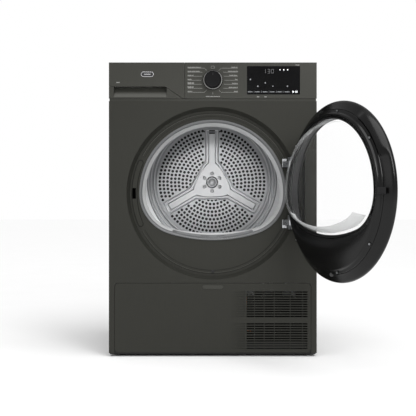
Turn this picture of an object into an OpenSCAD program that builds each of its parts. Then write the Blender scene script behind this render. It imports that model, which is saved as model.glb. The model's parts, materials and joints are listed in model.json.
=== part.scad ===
// Free-standing heat-pump clothes dryer, front loading, door shown open.
// Millimetres. X to the right, Y from the front panel to the back, Z up from the floor.
// The origin is on the floor, under the middle of the front panel's face.

/* [Cabinet] */
// Width over the side panels
body_w = 597; // [560:1:760]
// Height from the floor to the top of the worktop
body_h = 846; // [830:1:1060]
// Depth from the front panel's face to the rear panel
body_d = 567; // [560:1:700]
// Thickness of the folded steel sheets
sheet_t = 1.2; // [0.8:0.1:1.6]
// Height of the control fascia
fascia_h = 104; // [96:1:112]
// Height of the dark seam under the fascia
seam_h = 8; // [4:1:12]
// Height of the front panel's lower edge above the floor
skirt_z = 10; // [8:1:16]

/* [Porthole and door] */
// Height of the porthole's and the door's centre
port_z = 469.3; // [460:1:480]
// Radius of the D-shaped porthole's round top
port_r = 211.8; // [200:0.5:215]
// Drop from the porthole's centre to its lower edge
port_drop = 134.5; // [128:0.5:140]
// Radius of the round recess that the door closes into
recess_r = 248; // [246:1:255]
// Depth of that recess
recess_depth = 20; // [18:1:24]
// Radius over the door's rim
door_r = 240; // [234:1:243]
// Angle that the door stands open at
door_open = 116.5; // [90:0.5:130]
// Distance of the hinge axis from the porthole's centre
hinge_x = 222; // [218:1:226]
// Distance of the hinge axis in front of the front panel
hinge_out = 12; // [11:0.5:14]
// Radius of the hinge pins
hinge_pin_r = 3; // [2.5:0.1:3.5]

/* [Drum] */
// Radius over the drum shell
drum_r = 280; // [250:1:284]
// Height of the drum's axis
drum_z = 515; // [505:1:520]
// Thickness of the drum's sheet
drum_t = 1.2; // [0.8:0.1:1.6]
// Radius of the drum shaft
shaft_r = 12; // [9:0.5:15]
// Radius of a support roller
roller_r = 35; // [28:1:38]
// Diameter of the rear wall's air holes
hole_d = 9.4; // [6:0.2:10]
// Rings of air holes
hole_rings = 10; // [4:1:10]

/* [Controls and tank] */
// Radius of the programme knob's skirt
knob_r = 28.7; // [22:0.5:32]
// How far the knob stands out
knob_out = 24; // [18:1:30]
// Length of the water tank
tank_len = 440; // [360:5:450]
// Width of the water tank's drawer front
tank_front_w = 217; // [200:1:220]

/* [Kick cover and heat pump] */
// Height of the kick cover's top edge
kick_top = 210.7; // [205:0.5:215]
// Slots in each of the two groups
kick_slots = 11; // [4:1:11]
// Distance from slot to slot
slot_pitch = 7.03; // [6:0.05:7.2]
// Radius of the motor's pulley
pulley_r = 8; // [6:0.5:12]
// Radius of the process fan
fan_r = 70; // [55:1:74]
// Radius of the cooling fan's blades
cool_r = 45; // [34:1:52]

/* [Hidden] */
$fn = 96;

gap = 0.3;              // clearance between pieces that only stand side by side
run = 0.05;             // radial clearance of a running fit
half_w = body_w / 2;
inner_w = half_w - sheet_t - gap;
fascia_z = body_h - fascia_h;
panel_top = fascia_z - seam_h;
worktop_t = 12;
side_top = body_h - worktop_t - gap;
pan_z = 5;
pan_t = 3;
pan_h = 37;
pan_y = 14;
wrap_d = 15;            // how far the fascia and the front panel wrap round the sides

port_corner = 121;      // radius of the D's lower corners
collar_y = 74;          // where the collar meets the drum's mouth
collar_in_r = 198;
collar_in_drop = 116;
mouth_r = 232;
felt_t = 4;
lip_y = collar_y + 12;
back_y = body_d - 67;   // inside face of the drum's rear wall
drum_end = back_y + 12;

LOOP = 72;              // points round a lofted edge

function rev(p) = [for (q = p) [q[0], -q[1]]];

// Distance from the centre to a D-shaped edge, along the direction a.
function d_edge(a, r, c, drop) =
    let (big = (pow(r - c, 2) + drop * drop - c * c) / (2 * (drop - c)),
         up = big - drop, k = norm([r - c, up]),
         px = (r - c) + c * (r - c) / k, pz = c * up / k,
         ux = abs(cos(a)), uz = -sin(a))
    uz <= 0 ? r
    : uz * px < pz * ux ? ux * (r - c) + sqrt(pow(ux * (r - c), 2) - pow(r - c, 2) + c * c)
    : -uz * up + sqrt(pow(uz * up, 2) - up * up + big * big);

// Distance from the porthole's centre to a circle round the drum's axis, along a.
function drum_edge(a, r) =
    let (h = drum_z - port_z) sin(a) * h + sqrt(pow(sin(a) * h, 2) - h * h + r * r);

function d_loop(r, drop, y) = [for (i = [0 : LOOP - 1])
    let (a = 360 * i / LOOP, c = port_corner - (port_r - r) - 4 * (port_drop - drop > 30 ? 1 : 0),
         t = d_edge(a, r, min(c, drop - 6), drop))
    [t * cos(a), y, port_z + t * sin(a)]];
function round_loop(r, y) = [for (i = [0 : LOOP - 1])
    let (a = 360 * i / LOOP) [r * cos(a), y, port_z + r * sin(a)]];
function mouth_loop(r, y) = [for (i = [0 : LOOP - 1])
    let (a = 360 * i / LOOP, t = drum_edge(a, r)) [t * cos(a), y, port_z + t * sin(a)]];

// A closed ring whose cross-section's corners each run along one of the loops.
module ring_loft(loops) {
    k = len(loops);
    polyhedron(
        [for (l = loops) each l],
        [for (j = [0 : k - 1]) for (i = [0 : LOOP - 1])
            let (n = (i + 1) % LOOP, m = (j + 1) % k)
            each [[j * LOOP + i, j * LOOP + n, m * LOOP + n],
                [j * LOOP + i, m * LOOP + n, m * LOOP + i]]]);
}

// A closed skin from the first loop, which is filled, to the last, which is filled too.
module stack_loft(loops) {
    k = len(loops);
    polyhedron(
        [for (l = loops) each l],
        [[for (i = [LOOP - 1 : -1 : 0]) i], [for (i = [0 : LOOP - 1]) (k - 1) * LOOP + i],
            for (j = [0 : k - 2]) for (i = [0 : LOOP - 1])
            let (n = (i + 1) % LOOP, m = j + 1)
            each [[j * LOOP + i, j * LOOP + n, m * LOOP + n],
                [j * LOOP + i, m * LOOP + n, m * LOOP + i]]]);
}

// A solid of revolution round an axis along Y at height z; its points are [radius, y].
module lathe_y(z, points, x = 0) {
    translate([x, 0, z]) rotate([90, 0, 0]) rotate_extrude() polygon(rev(points));
}

// A plate standing across Y, drawn in X and Z, from y0 back over thickness t.
module plate_y(y0, t) {
    translate([0, y0 + t, 0]) rotate([90, 0, 0]) linear_extrude(t) children();
}

module disc_y(r, y0, t, x, z) {
    translate([x, y0 + t, z]) rotate([90, 0, 0]) cylinder(r = r, h = t);
}

module tube_y(r, bore, y0, t, x, z) {
    difference() {
        disc_y(r, y0, t, x, z);
        disc_y(bore, y0 - 1, t + 2, x, z);
    }
}

// A flat rectangle with round corners, from its lower left corner.
module round_rect(x0, z0, w, h, r) {
    translate([x0 + r, z0]) square([w - 2 * r, h]);
    translate([x0, z0 + r]) square([w, h - 2 * r]);
    for (cx = [x0 + r, x0 + w - r])
        for (cz = [z0 + r, z0 + h - r])
            translate([cx, cz]) circle(r = r);
}

module block(lo, hi) {
    translate(lo) cube(hi - lo);
}

module at_port() {
    translate([0, port_z]) children();
}

module d_shape(r, drop) {
    polygon([for (p = d_loop(r, drop, 0)) [p[0], p[2] - port_z]]);
}

// ---- cabinet ----

foot_x = half_w - 42;
foot_y = [46, body_d - 46];
foot_bore = 5;

module base_pan() {
    color("dimgray") difference() {
        block([-inner_w, pan_y, pan_z], [inner_w, body_d - 4, pan_z + pan_h]);
        block([-inner_w + pan_t, pan_y + pan_t, pan_z + pan_t],
            [inner_w - pan_t, body_d - 4 - pan_t, pan_z + pan_h + 1]);
        for (x = [-foot_x, foot_x])
            for (y = foot_y)
                translate([x, y, pan_z - 1]) cylinder(r = foot_bore + run, h = pan_t + 2);
    }
}

flange = 14;

module side_panel(side) {
    color("#3e3e39") mirror([side < 0 ? 1 : 0, 0, 0]) {
        block([half_w - sheet_t, wrap_d + gap, skirt_z], [half_w, body_d, side_top]);
        block([half_w - flange, body_d - sheet_t, skirt_z], [half_w, body_d, side_top]);
    }
}

duct_r = 236;
scroll_x = half_w - 83.5;
scroll_z = 190;

module rear_panel() {
    color("silver") difference() {
        block([-half_w + flange + gap, body_d - sheet_t, pan_z + pan_h + gap],
            [half_w - flange - gap, body_d, side_top]);
        for (i = [0 : 23])
            rotate_about_drum(i * 15) disc_y(14, body_d - 3, 6, 190, drum_z);
        disc_y(duct_eye, body_d - 3, 6, scroll_x, scroll_z);
        disc_y(gland_r, body_d - 3, 6, gland_x, gland_z);
        disc_y(shaft_r + 16, body_d - 3, 6, 0, drum_z);
        for (i = [0 : 8])
            block([-200, body_d - 3, 70 + 12 * i], [-90, body_d + 3, 74 + 12 * i]);
    }
}

duct_eye = 58;
duct_t = 1.5;
duct_out = 31;

module rotate_about_drum(a) {
    translate([0, 0, drum_z]) rotate([0, a, 0]) translate([0, 0, -drum_z]) children();
}

module duct_outline(r, w) {
    translate([0, drum_z]) circle(r = r);
    translate([scroll_x, scroll_z]) circle(r = w);
    polygon([
        [r * 0.2, drum_z - r * 0.9], [r * 0.98, drum_z - r * 0.1],
        [scroll_x + w, scroll_z], [scroll_x - w * 0.94, scroll_z - w * 0.3]]);
}

module rear_duct_cover() {
    color("silver") difference() {
        union() {
            plate_y(body_d + gap, duct_out) duct_outline(duct_r, 76);
            plate_y(body_d + gap, duct_t) duct_outline(duct_r + 10, 86 - 6);
        }
        plate_y(body_d - 1, duct_out - duct_t + 1) duct_outline(duct_r - 4, 72);
        for (i = [0 : 9])
            rotate_about_drum(i * 36 + 18) disc_y(2.2, body_d - 1, 5, 0, drum_z + duct_r + 5);
    }
}

module worktop() {
    color("#3a3b36") {
        block([-half_w, wrap_d + gap, body_h - worktop_t], [half_w, body_d + 18, body_h - 3]);
        block([-half_w + 1.5, wrap_d + 1.8, body_h - 3], [half_w - 1.5, body_d + 16.5, body_h]);
    }
}

latch_x = -233.5;
latch_w = 11;
latch_h = 31;
notch_x = recess_r + 16;  // reach of the notch that clears the open door's rim
notch_h = 108;
kick_half = half_w - 16.5;
kick_r = 12;

// The space beside the recess that the door's rim swings into, grown by its sheet.
module notch_room(x0, y0, y1, grow) {
    block([x0, y0, port_z - notch_h - grow], [notch_x + grow, y1, port_z + notch_h + grow]);
}

module notch_sheet(wall) {
    notch_room(port_r + 2.2, recess_depth, recess_depth + wall, wall);
    difference() {
        notch_room(door_r - 32, 0, recess_depth + wall, wall);
        notch_room(door_r - 33, -1, recess_depth + wall + 1, 0);
        lathe_y(port_z, [[0, -1], [recess_r + wall / 2, -1], [recess_r + wall / 2, 0],
            [door_r + 0.1, recess_depth], [0, recess_depth]]);
    }
}

module front_panel() {
    wall = sheet_t;
    color("#3e3e39") difference() {
        union() {
            notch_sheet(wall);
            plate_y(0, wall) difference() {
                translate([-half_w, skirt_z]) square([body_w, panel_top - skirt_z]);
                at_port() circle(r = recess_r);
                translate([0, skirt_z - 20]) round_rect(-kick_half - gap * 3, 0,
                    2 * (kick_half + gap * 3), kick_top + 0.9 - skirt_z + 20, kick_r);
            }
            lathe_y(port_z, [[recess_r, 0], [recess_r + wall, 0],
                [door_r + wall, recess_depth], [door_r + wall, recess_depth + wall],
                [door_r - 3, recess_depth + wall], [door_r - 3, recess_depth],
                [door_r - 1, recess_depth]]);
            plate_y(recess_depth, wall) at_port() difference() {
                circle(r = door_r - 2);
                d_shape(port_r, port_drop);
            }
            for (s = [-1, 1])
                translate([s * (half_w - wall / 2) - wall / 2, 0, skirt_z])
                    cube([wall, wrap_d, panel_top - skirt_z]);
            block([-half_w, 0, panel_top - wall], [half_w, wrap_d, panel_top]);
        }
        notch_room(door_r - 32, -1, recess_depth, 0);
        block([latch_x, recess_depth - 2, port_z - latch_h / 2],
            [latch_x + latch_w, recess_depth + 4, port_z + latch_h / 2]);
        disc_y(3, recess_depth - 2, 6, 0, port_z - 226);
    }
}

// The tunnel from the door's recess back to the drum, with its flange behind the panel.
module porthole_collar() {
    y0 = recess_depth - 2;
    y1 = recess_depth + sheet_t + gap;
    r = port_r - 0.4;
    d = port_drop - 0.4;
    color("#9a9c9b") difference() {
        ring_loft([
            d_loop(r, d, y0), d_loop(r, d, y1), d_loop(r + 8, d + 8, y1),
            d_loop(r + 8, d + 8, y1 + 2), d_loop(r + 0.6, d + 0.6, y1 + 3),
            d_loop(collar_in_r + 5.5, collar_in_drop + 8, collar_y - 9),
            mouth_loop(mouth_r - felt_t, collar_y - 6), mouth_loop(mouth_r - felt_t, collar_y + 3),
            mouth_loop(mouth_r - felt_t - 4, collar_y + 3), mouth_loop(mouth_r - felt_t - 8, collar_y),
            d_loop(collar_in_r, collar_in_drop, collar_y),
            d_loop(collar_in_r + 2, collar_in_drop + 4, collar_y - 12),
            d_loop(r - 2.4, d - 2.4, y0 - 1)]);
        block([-filter_half - 1, chute_y - 1, chute_z], [filter_half + 1, chute_y + chute_d + 1, port_z - 60]);
    }
}

chute_w = 118;
chute_z = 178;
chute_y = 32;
chute_d = 27;
filter_top = port_z - collar_in_drop - 5;

module filter_chute() {
    color("#8c8e8d") difference() {
        block([-chute_w - 3, chute_y - 3, chute_z - 3],
            [chute_w + 3, chute_y + chute_d + 3, filter_top - 22]);
        block([-chute_w, chute_y, chute_z], [chute_w, chute_y + chute_d, filter_top]);
        block([-chute_w + 14, chute_y + chute_d - 1, chute_z + 12],
            [chute_w - 14, chute_y + chute_d + 4, filter_top - 40]);
    }
}

module foot(x, y) {
    pad_t = pan_z - 1;
    color("dimgray") {
        translate([x, y, 0]) cylinder(r = 17, h = pad_t);
        translate([x, y, pad_t]) cylinder(r = foot_bore, h = 22);
    }
}

gland_x = 236;
gland_z = 742;
gland_r = 9;
cord_r = 4;

module mains_gland() {
    color("#222222") difference() {
        union() {
            disc_y(gland_r - 0.4, body_d - 8, 8 + duct_t, gland_x, gland_z);
            disc_y(gland_r + 5, body_d + gap, 3, gland_x, gland_z);
            disc_y(gland_r - 1, body_d, 16, gland_x, gland_z);
        }
        disc_y(cord_r, body_d - 10, 30, gland_x, gland_z);
    }
}

// ---- controls ----

knob_z = fascia_z + 52.6;
glass = [98.3, fascia_z + 11.3, 152, 81];
drawer_x = -half_w;
drawer_low = 34;

// The drawer front's outline: a long bar whose right end drops to the seam on a slope.
module drawer_outline(grow) {
    polygon([
        [drawer_x + (grow > 0 ? -1 : 0), fascia_z + drawer_low - grow],
        [drawer_x + 162 - grow * 0.4, fascia_z + drawer_low - grow],
        [drawer_x + tank_front_w - 5 - grow, fascia_z - (grow > 0 ? 1 : 0)],
        [drawer_x + tank_front_w + grow, fascia_z - (grow > 0 ? 1 : 0)],
        [drawer_x + tank_front_w + grow, body_h - 1 + (grow > 0 ? 8 : 0)],
        [drawer_x + (grow > 0 ? -1 : 0), body_h - 1 + (grow > 0 ? 8 : 0)]]);
}

scoop_x = [-half_w + 14, -half_w + 166];
scoop_d = 18;
scoop_low = 4;

// The finger scoop under the drawer front: a ramp that runs back and up from the seam.
module scoop_cut() {
    translate([scoop_x[0], 0, fascia_z]) rotate([90, 0, 90]) linear_extrude(scoop_x[1] - scoop_x[0])
        polygon([[-1, scoop_low], [0, scoop_low], [scoop_d, drawer_low], [scoop_d, drawer_low + 4],
            [-1, drawer_low + 4]]);
}

module control_fascia() {
    t = 3;
    color("#45463f") difference() {
        union() {
            plate_y(0, t) translate([-half_w, fascia_z]) square([body_w, fascia_h - 1]);
            for (x = [-half_w, half_w - t])
                block([x, 0, fascia_z], [x + t, wrap_d, body_h - 1]);
            block([-half_w, 0, body_h - t], [half_w, wrap_d, body_h - 1]);
            block([-half_w + 2, 3, panel_top + gap], [half_w - 2, 5, fascia_z + 1]);
            block([scoop_x[0] - t, 0, fascia_z],
                [scoop_x[1] + t, scoop_d + t, fascia_z + drawer_low - 0.8]);
        }
        plate_y(-1, 20) drawer_outline(0.8);
        scoop_cut();
        block([glass[0] - gap, -1, glass[1] - gap],
            [glass[0] + glass[2] + gap, 2.2, glass[1] + glass[3] + gap]);
        block([glass[0] + 8, -1, glass[1] + 8],
            [glass[0] + glass[2] - 8, 5, glass[1] + glass[3] - 8]);
        disc_y(8, -1, 6, 0, knob_z);
    }
}

module display_glass() {
    color("#0b0b0c") plate_y(-0.4, 2.4) round_rect(glass[0], glass[1], glass[2], glass[3], 3);
}

board_y = 8;

module display_board() {
    color("darkgreen") {
        block([-60, board_y, fascia_z + 14], [280, board_y + 1.6, fascia_z + 92]);
        block([-9, board_y - 3.5, knob_z - 9], [9, board_y, knob_z + 9]);
        disc_y(3, -knob_out + 9, board_y - 3.5 + knob_out - 9, 0, knob_z);
    }
}

module control_board() {
    color("#d8d8d4") difference() {
        block([184, 24, fascia_z + 30], [half_w - 16, 190, fascia_z + 78]);
        block([187, 27, fascia_z + 33], [half_w - 19, 187, fascia_z + 79]);
    }
}

module knob() {
    color("#141414") difference() {
        union() {
            lathe_y(knob_z, [[0, -knob_out], [22.5, -knob_out], [24, -knob_out + 1.5],
                [24.6, -6], [knob_r - 1, -4], [knob_r, -2.6], [knob_r, -0.8],
                [6, -0.8], [6, 2.4], [0, 2.4]]);
        }
        disc_y(3 + run, -knob_out + 8.5, knob_out, 0, knob_z);
    }
}

module badge_plate() {
    w = 37;
    h = 15;
    color("#c9cbcc") plate_y(-0.8, 0.8 + run)
        round_rect(-188 - w / 2, fascia_z + 69 - h / 2, w, h, h / 2 - 0.01);
}

// ---- water tank ----

tank_clear_r = drum_r + 9;
tank_x = [-half_w + 12, -half_w + 206];
tank_z = [fascia_z + drawer_low + 1, body_h - worktop_t - 10];

module tank_front() {
    color("#3f403a") difference() {
        plate_y(0, 10) drawer_outline(0);
        block([drawer_x + 3, 2.4, fascia_z + drawer_low + 3],
            [drawer_x + tank_front_w - 8, 11, body_h - 6]);
        plate_y(-0.8, 0.8 + run)
            round_rect(-188 - 37 / 2 - 0.1, fascia_z + 69 - 7.6, 37.2, 15.2, 7.5);
    }
}

module tank_body(grow, y0, y1) {
    difference() {
        block([tank_x[0] - grow, y0, tank_z[0] - grow], [tank_x[1] + grow, y1, tank_z[1] + grow]);
        disc_y(tank_clear_r - grow, y0 - 1, y1 - y0 + 2, 0, drum_z);
    }
}

module water_tank() {
    wall = 2;
    color("gainsboro") difference() {
        tank_body(0, 10, tank_len);
        tank_body(-wall, 10 + wall, tank_len - wall);
        translate([tank_x[0] + 40, tank_len - 50, tank_z[1] - 5]) cylinder(r = 14, h = 10);
    }
}

module tank_guide() {
    color("#bdbfbe") for (x = [tank_x[0] - 7, tank_x[1] + 1.5])
        block([x, 24, tank_z[1] - 22], [x + 5.5, tank_len + 20, tank_z[1] + 6]);
    color("#bdbfbe") block([tank_x[0] - 7, tank_len + 2, tank_z[1] - 22],
        [tank_x[1] + 7, tank_len + 20, tank_z[1] + 6]);
}

// ---- door ----

knuckle = [76, 92];       // a knuckle's reach above and below the door's centre
post_a = 120;             // direction of the bracket's arm, seen from above
hinge_y = -hinge_out;

module open_door() {
    translate([hinge_x, hinge_y, 0]) rotate([0, 0, door_open]) translate([-hinge_x, -hinge_y, 0])
        children();
}

module both_ends() {
    children();
    translate([0, 0, 2 * port_z]) mirror([0, 0, 1]) children();
}

module hinge_bracket() {
    color("#c4c6c8") difference() {
        both_ends() {
            for (z = [knuckle[0]]) translate([hinge_x, hinge_y, port_z + z])
                cylinder(r = 6, h = knuckle[1] - z);
            translate([hinge_x, hinge_y, port_z + knuckle[0]]) rotate([0, 0, post_a])
                translate([0, -3, 0]) cube([34.5, 6, knuckle[1] - knuckle[0]]);
            block([hinge_x - 21, recess_depth - 3, port_z + knuckle[0]],
                [hinge_x - 8, recess_depth - 0.02, port_z + knuckle[1] + 8]);
        }
        translate([hinge_x, hinge_y, port_z - 120]) cylinder(r = hinge_pin_r + run, h = 240);
    }
}

module door_catch() {
    x = latch_x - 2;
    color("#2c2c2c") difference() {
        block([x - 2, recess_depth + sheet_t + gap, port_z - 24],
            [x + latch_w + 4, recess_depth + 30, port_z + 24]);
        block([x, recess_depth, port_z - 15], [x + latch_w + 2, recess_depth + 16, port_z + 15]);
    }
}

// Door pieces are drawn closed: n is the distance outwards from the hinge's plane.
function dn(n) = hinge_y - n;
function door_prof(p) = [for (q = p) [q[0] * door_r / 240, dn(q[1])]];

module hinge_room() {
    both_ends() block([hinge_x - 25, dn(8.5), port_z + 61],
        [hinge_x + 30, dn(-40), port_z + 104]);
}

window_r = 190;

module door_ring() {
    open_door() color("#0c0c0d") difference() {
        lathe_y(port_z, door_prof([[217, -10], [236, 2.5], [239.4, 7.5], [240, 11], [239.2, 14.5],
            [234, 18.5], [224, 21], [212, 20.5], [202, 16.5], [195, 12.2], [192, 9.4], [192, 7.4],
            [194, 7], [197, 8.6], [204, 13.2], [212.5, 16.9], [222.5, 17.4], [231, 15],
            [236.2, 11], [233, 5], [214.2, -7.2]]));
        hinge_room();
    }
}

frame_d = [191, 113];     // the D-shaped opening of the inner frame: radius and drop

module door_frame() {
    open_door() color("#0f0f10") difference() {
        ring_loft([
            round_loop(213.6, dn(-6.6)), round_loop(216.4, dn(-10.3)), round_loop(214, dn(-13)),
            round_loop(209, dn(-14)), round_loop(207, dn(-20)), round_loop(204, dn(-22)),
            d_loop(frame_d[0] + 3, frame_d[1] + 3, dn(-22.6)), d_loop(frame_d[0], frame_d[1], dn(-21.5)),
            d_loop(frame_d[0], frame_d[1], dn(-18.6)), round_loop(202, dn(-18.4)),
            round_loop(205, dn(-11)), round_loop(210, dn(-7))]);
        hinge_room();
    }
}

module door_bowl() {
    r = frame_d[0];
    d = frame_d[1];
    open_door() color([0.8, 0.85, 0.88, 0.35]) stack_loft([
        d_loop(r - 56, d - 40, dn(-59)), d_loop(r - 34, d - 25, dn(-57)),
        d_loop(r - 24, d - 18, dn(-52)), d_loop(r - 15, d - 12, dn(-42)),
        d_loop(r - 8, d - 7, dn(-28)), d_loop(r - 3, d - 3, dn(-20.5)),
        d_loop(r - 1, d - 1, dn(-18.3)), d_loop(r + 6, d + 6, dn(-18.1)),
        d_loop(r + 6, d + 6, dn(-14.6)), d_loop(r - 5, d - 5, dn(-14.6)),
        d_loop(r - 12, d - 11, dn(-27)), d_loop(r - 19, d - 16, dn(-40)),
        d_loop(r - 27, d - 21, dn(-49.5)), d_loop(r - 36, d - 27, dn(-53.5)),
        d_loop(r - 56, d - 40, dn(-55))]);
}

module door_window() {
    open_door() color([0.3, 0.31, 0.33, 0.4]) lathe_y(port_z, [[0, dn(11.8)], [60, dn(11.3)],
        [120, dn(9.6)], [window_r - 10, dn(7.6)], [window_r, dn(6.9)], [window_r + 6, dn(6.9)],
        [window_r + 6, dn(4.2)], [window_r, dn(4.2)], [window_r - 10, dn(4.9)], [120, dn(6.9)],
        [60, dn(8.6)], [0, dn(9.1)]]);
}

module door_hook() {
    x = latch_x + latch_w / 2;
    open_door() color("#8a8c8e") {
        block([x - 3.4, dn(-14.2), port_z - 8], [x + 3.4, dn(-31), port_z + 8]);
        block([x - 3.4, dn(-31), port_z - 8], [x + 4.4, dn(-34), port_z + 8]);
        block([x + 3.4, dn(-13.9), port_z - 8], [x + 16, dn(-17.4), port_z + 8]);
    }
}

module door_hinge_arm() {
    x0 = hinge_x - 25;
    open_door() color("#8a8c8e") both_ends() {
        block([x0, dn(6), port_z + 63], [x0 + 11, dn(-6), port_z + 103]);
        for (z = [[63, knuckle[0] - gap], [knuckle[1] + gap, 103]])
            block([x0, dn(6), port_z + z[0]], [hinge_x + 5, dn(-6), port_z + z[1]]);
        translate([hinge_x, hinge_y, port_z + 63]) cylinder(r = hinge_pin_r, h = 40);
    }
}

module door_screws() {
    open_door() color("#77797b") for (a = [38, 98, 142, 218, 262, 322])
        translate([0, 0, port_z]) rotate([0, -a, 0]) translate([0, 0, -port_z])
            disc_y(2.8, dn(-13.93), 2, 212.2, port_z);
}

// ---- drum ----

module drum_shell() {
    t = drum_t;
    y1 = lip_y + 24;
    color("#c9cbcd") lathe_y(drum_z, [
        [mouth_r, collar_y + 1], [mouth_r + t, collar_y + 1], [mouth_r + t, lip_y - 4],
        [mouth_r + 14, lip_y + 6], [drum_r - 8, y1 - 6], [drum_r, y1 + 4],
        [drum_r, drum_end], [drum_r - t, drum_end], [drum_r - t, y1 + 4.5],
        [drum_r - 9, y1 - 4.6], [mouth_r + 13.3, lip_y + 7.2], [mouth_r, lip_y - 3]]);
}

wall_flat = 188;          // radius of the rear wall's flat, perforated field
first_ring = 61.6;
ring_step = 13.1;
hole_pitch = 12.9;

module holes_2d() {
    for (i = [0 : hole_rings - 1]) {
        r = first_ring + i * ring_step;
        n = round(2 * PI * r / hole_pitch);
        for (j = [0 : n - 1]) {
            a = 360 * (j + 0.5 * (i % 2)) / n + 90;
            off = min([for (arm = [90, 210, 330]) abs(r * sin(a - arm)) + (cos(a - arm) < 0 ? 99 : 0)]);
            if (off > arm_w / 2 + hole_d / 2 + 1 || r > arm_end + hole_d / 2 + 2)
                translate([r * cos(a), r * sin(a)]) circle(r = hole_d / 2, $fn = 16);
        }
    }
}

module drum_back() {
    t = drum_t;
    y = back_y;
    color("#c2c4c6") {
        translate([0, 0, drum_z]) plate_y(y, t) difference() {
            circle(r = wall_flat);
            holes_2d();
            circle(r = 20);
            for (s = [-1, 1]) translate([s * 18 - 10, 172]) square([20, 5]);
        }
        lathe_y(drum_z, [[wall_flat - 1, y], [wall_flat + 3, y], [wall_flat + 5, y - 5],
            [wall_flat + 13, y - 5], [wall_flat + 15, y - 9], [wall_flat + 30, y - 9],
            [wall_flat + 34, y - 2], [drum_r - 10, y + 4], [drum_r - t - 0.1, y + 8],
            [drum_r - t - 0.1, drum_end], [drum_r - 2 * t, drum_end], [drum_r - 2 * t, y + 9],
            [drum_r - 10.4, y + 4 + t], [wall_flat + 33.2, y - 2 + t],
            [wall_flat + 29, y - 9 + t], [wall_flat + 16, y - 9 + t],
            [wall_flat + 14, y - 5 + t], [wall_flat + 6, y - 5 + t],
            [wall_flat + 4, y + t], [wall_flat - 1, y + t]]);
    }
}

arm_w = 47;
arm_flat = 21;
arm_end = 182;
star_y = back_y - 6;

module arm_2d(w, r_end) {
    translate([-w / 2, 0]) square([w, r_end]);
}

module star_2d(w, r_end, hub) {
    circle(r = hub);
    for (a = [0, 120, 240])
        rotate(a) arm_2d(w, r_end);
}

module drum_star() {
    color("#d4d6d8") translate([0, 0, drum_z]) difference() {
        union() {
            plate_y(back_y - 2, 1.9) star_2d(arm_w, arm_end, 52);
            plate_y(star_y, 5) star_2d(arm_w - 16, arm_end - 7, 47);
            plate_y(star_y - 3, 4) star_2d(arm_flat, arm_end - 14, 42);
        }
        translate([0, star_y - 4, 0]) rotate([-90, 0, 0]) cylinder(r = 20.6, h = 4);
        for (i = [0 : 5])
            rotate([0, 60 * i, 0]) translate([0, 0, 30]) rotate([-90, 0, 0])
                translate([0, 0, star_y - 4]) cylinder(r = 3.2, h = 12);
    }
}

module drum_rivets() {
    color("#e2e4e6") {
        for (i = [0 : 5])
            translate([30 * sin(60 * i), 0, 30 * cos(60 * i)])
                lathe_y(drum_z, [[0, star_y - 5.4], [4.5, star_y - 5], [6.5, star_y - 3.2],
                    [6.5, star_y - 3], [3.1, star_y - 3], [3.1, back_y - 0.1], [0, back_y - 0.1]]);
        lathe_y(drum_z, [[0, star_y - 4], [9, star_y - 3.6], [14, star_y - 1.6], [14, star_y],
            [0, star_y]]);
    }
}

lifter_h = 34;

module drum_lifters() {
    foot_half = 30;
    seat = sqrt(pow(drum_r - drum_t - 0.1, 2) - foot_half * foot_half) - 0.1;
    color("#b9bbbd") for (a = [60, 180, 300])
        rotate_about_drum(a) translate([0, lip_y + 44, drum_z + seat])
            rotate([-90, 0, 0]) linear_extrude(back_y - lip_y - 154)
                polygon([[-foot_half, 0], [-foot_half, 4], [-12, lifter_h - 4], [-6, lifter_h],
                    [6, lifter_h], [12, lifter_h - 4], [foot_half, 4], [foot_half, 0]]);
}

module drum_shaft() {
    y = back_y + drum_t;
    color("#8f9294") {
        disc_y(60, y + 0.02, 6, 0, drum_z);
        disc_y(26, y + 6, 12, 0, drum_z);
        disc_y(shaft_r, y + 18, body_d - y - 18 + 6, 0, drum_z);
    }
}

module rear_bearing() {
    y = back_y + drum_t + 22;
    color("#6f7274") {
        tube_y(shaft_r + 14, shaft_r + run, y, body_d + 2 - y, 0, drum_z);
        difference() {
            disc_y(54, body_d - sheet_t - 4, 4 - gap * 0.1, 0, drum_z);
            disc_y(shaft_r + 13, body_d - 30, 40, 0, drum_z);
        }
    }
}

module front_felt() {
    color("#e8e4d8") tube_y(mouth_r - run, mouth_r - felt_t + 0.02, collar_y - 5, 13, 0, drum_z);
}

roller_a = 38;
roller_c = drum_r + roller_r + gap;
roller_y = lip_y + 34;
roller_w = 18;
roller_x = roller_c * sin(roller_a);
roller_z = drum_z - roller_c * cos(roller_a);
axle_r = 5;

module roller(side) {
    color("#2b2b2b") difference() {
        lathe_y(roller_z, [[axle_r + run, roller_y - 3], [12, roller_y - 3], [12, roller_y],
            [roller_r - 1, roller_y], [roller_r, roller_y + 1],
            [roller_r, roller_y + roller_w - 1], [roller_r - 1, roller_y + roller_w],
            [12, roller_y + roller_w], [12, roller_y + roller_w + 3],
            [axle_r + run, roller_y + roller_w + 3]], side * roller_x);
    }
}

module roller_brackets() {
    y = roller_y - 7;
    color("#a8aaac") for (s = [-1, 1]) {
        disc_y(axle_r, y, roller_w + 11, s * roller_x, roller_z);
        disc_y(13, y - 3, 6.5, s * roller_x, roller_z);
        block([s * roller_x - 13, y - 3, pan_z + pan_t], [s * roller_x + 13, y + 3.5, roller_z]);
    }
}

// ---- drive ----

belt_y = back_y / 2;
belt_w = 10;
belt_t = 2.5;
motor_r = 58;
motor_y = [belt_y + 22, belt_y + 160];
belt_d = norm([scroll_x, drum_z - scroll_z]);
belt_ang = atan2(scroll_x, drum_z - scroll_z);
belt_tan = asin((drum_r - pulley_r) / belt_d);

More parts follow.
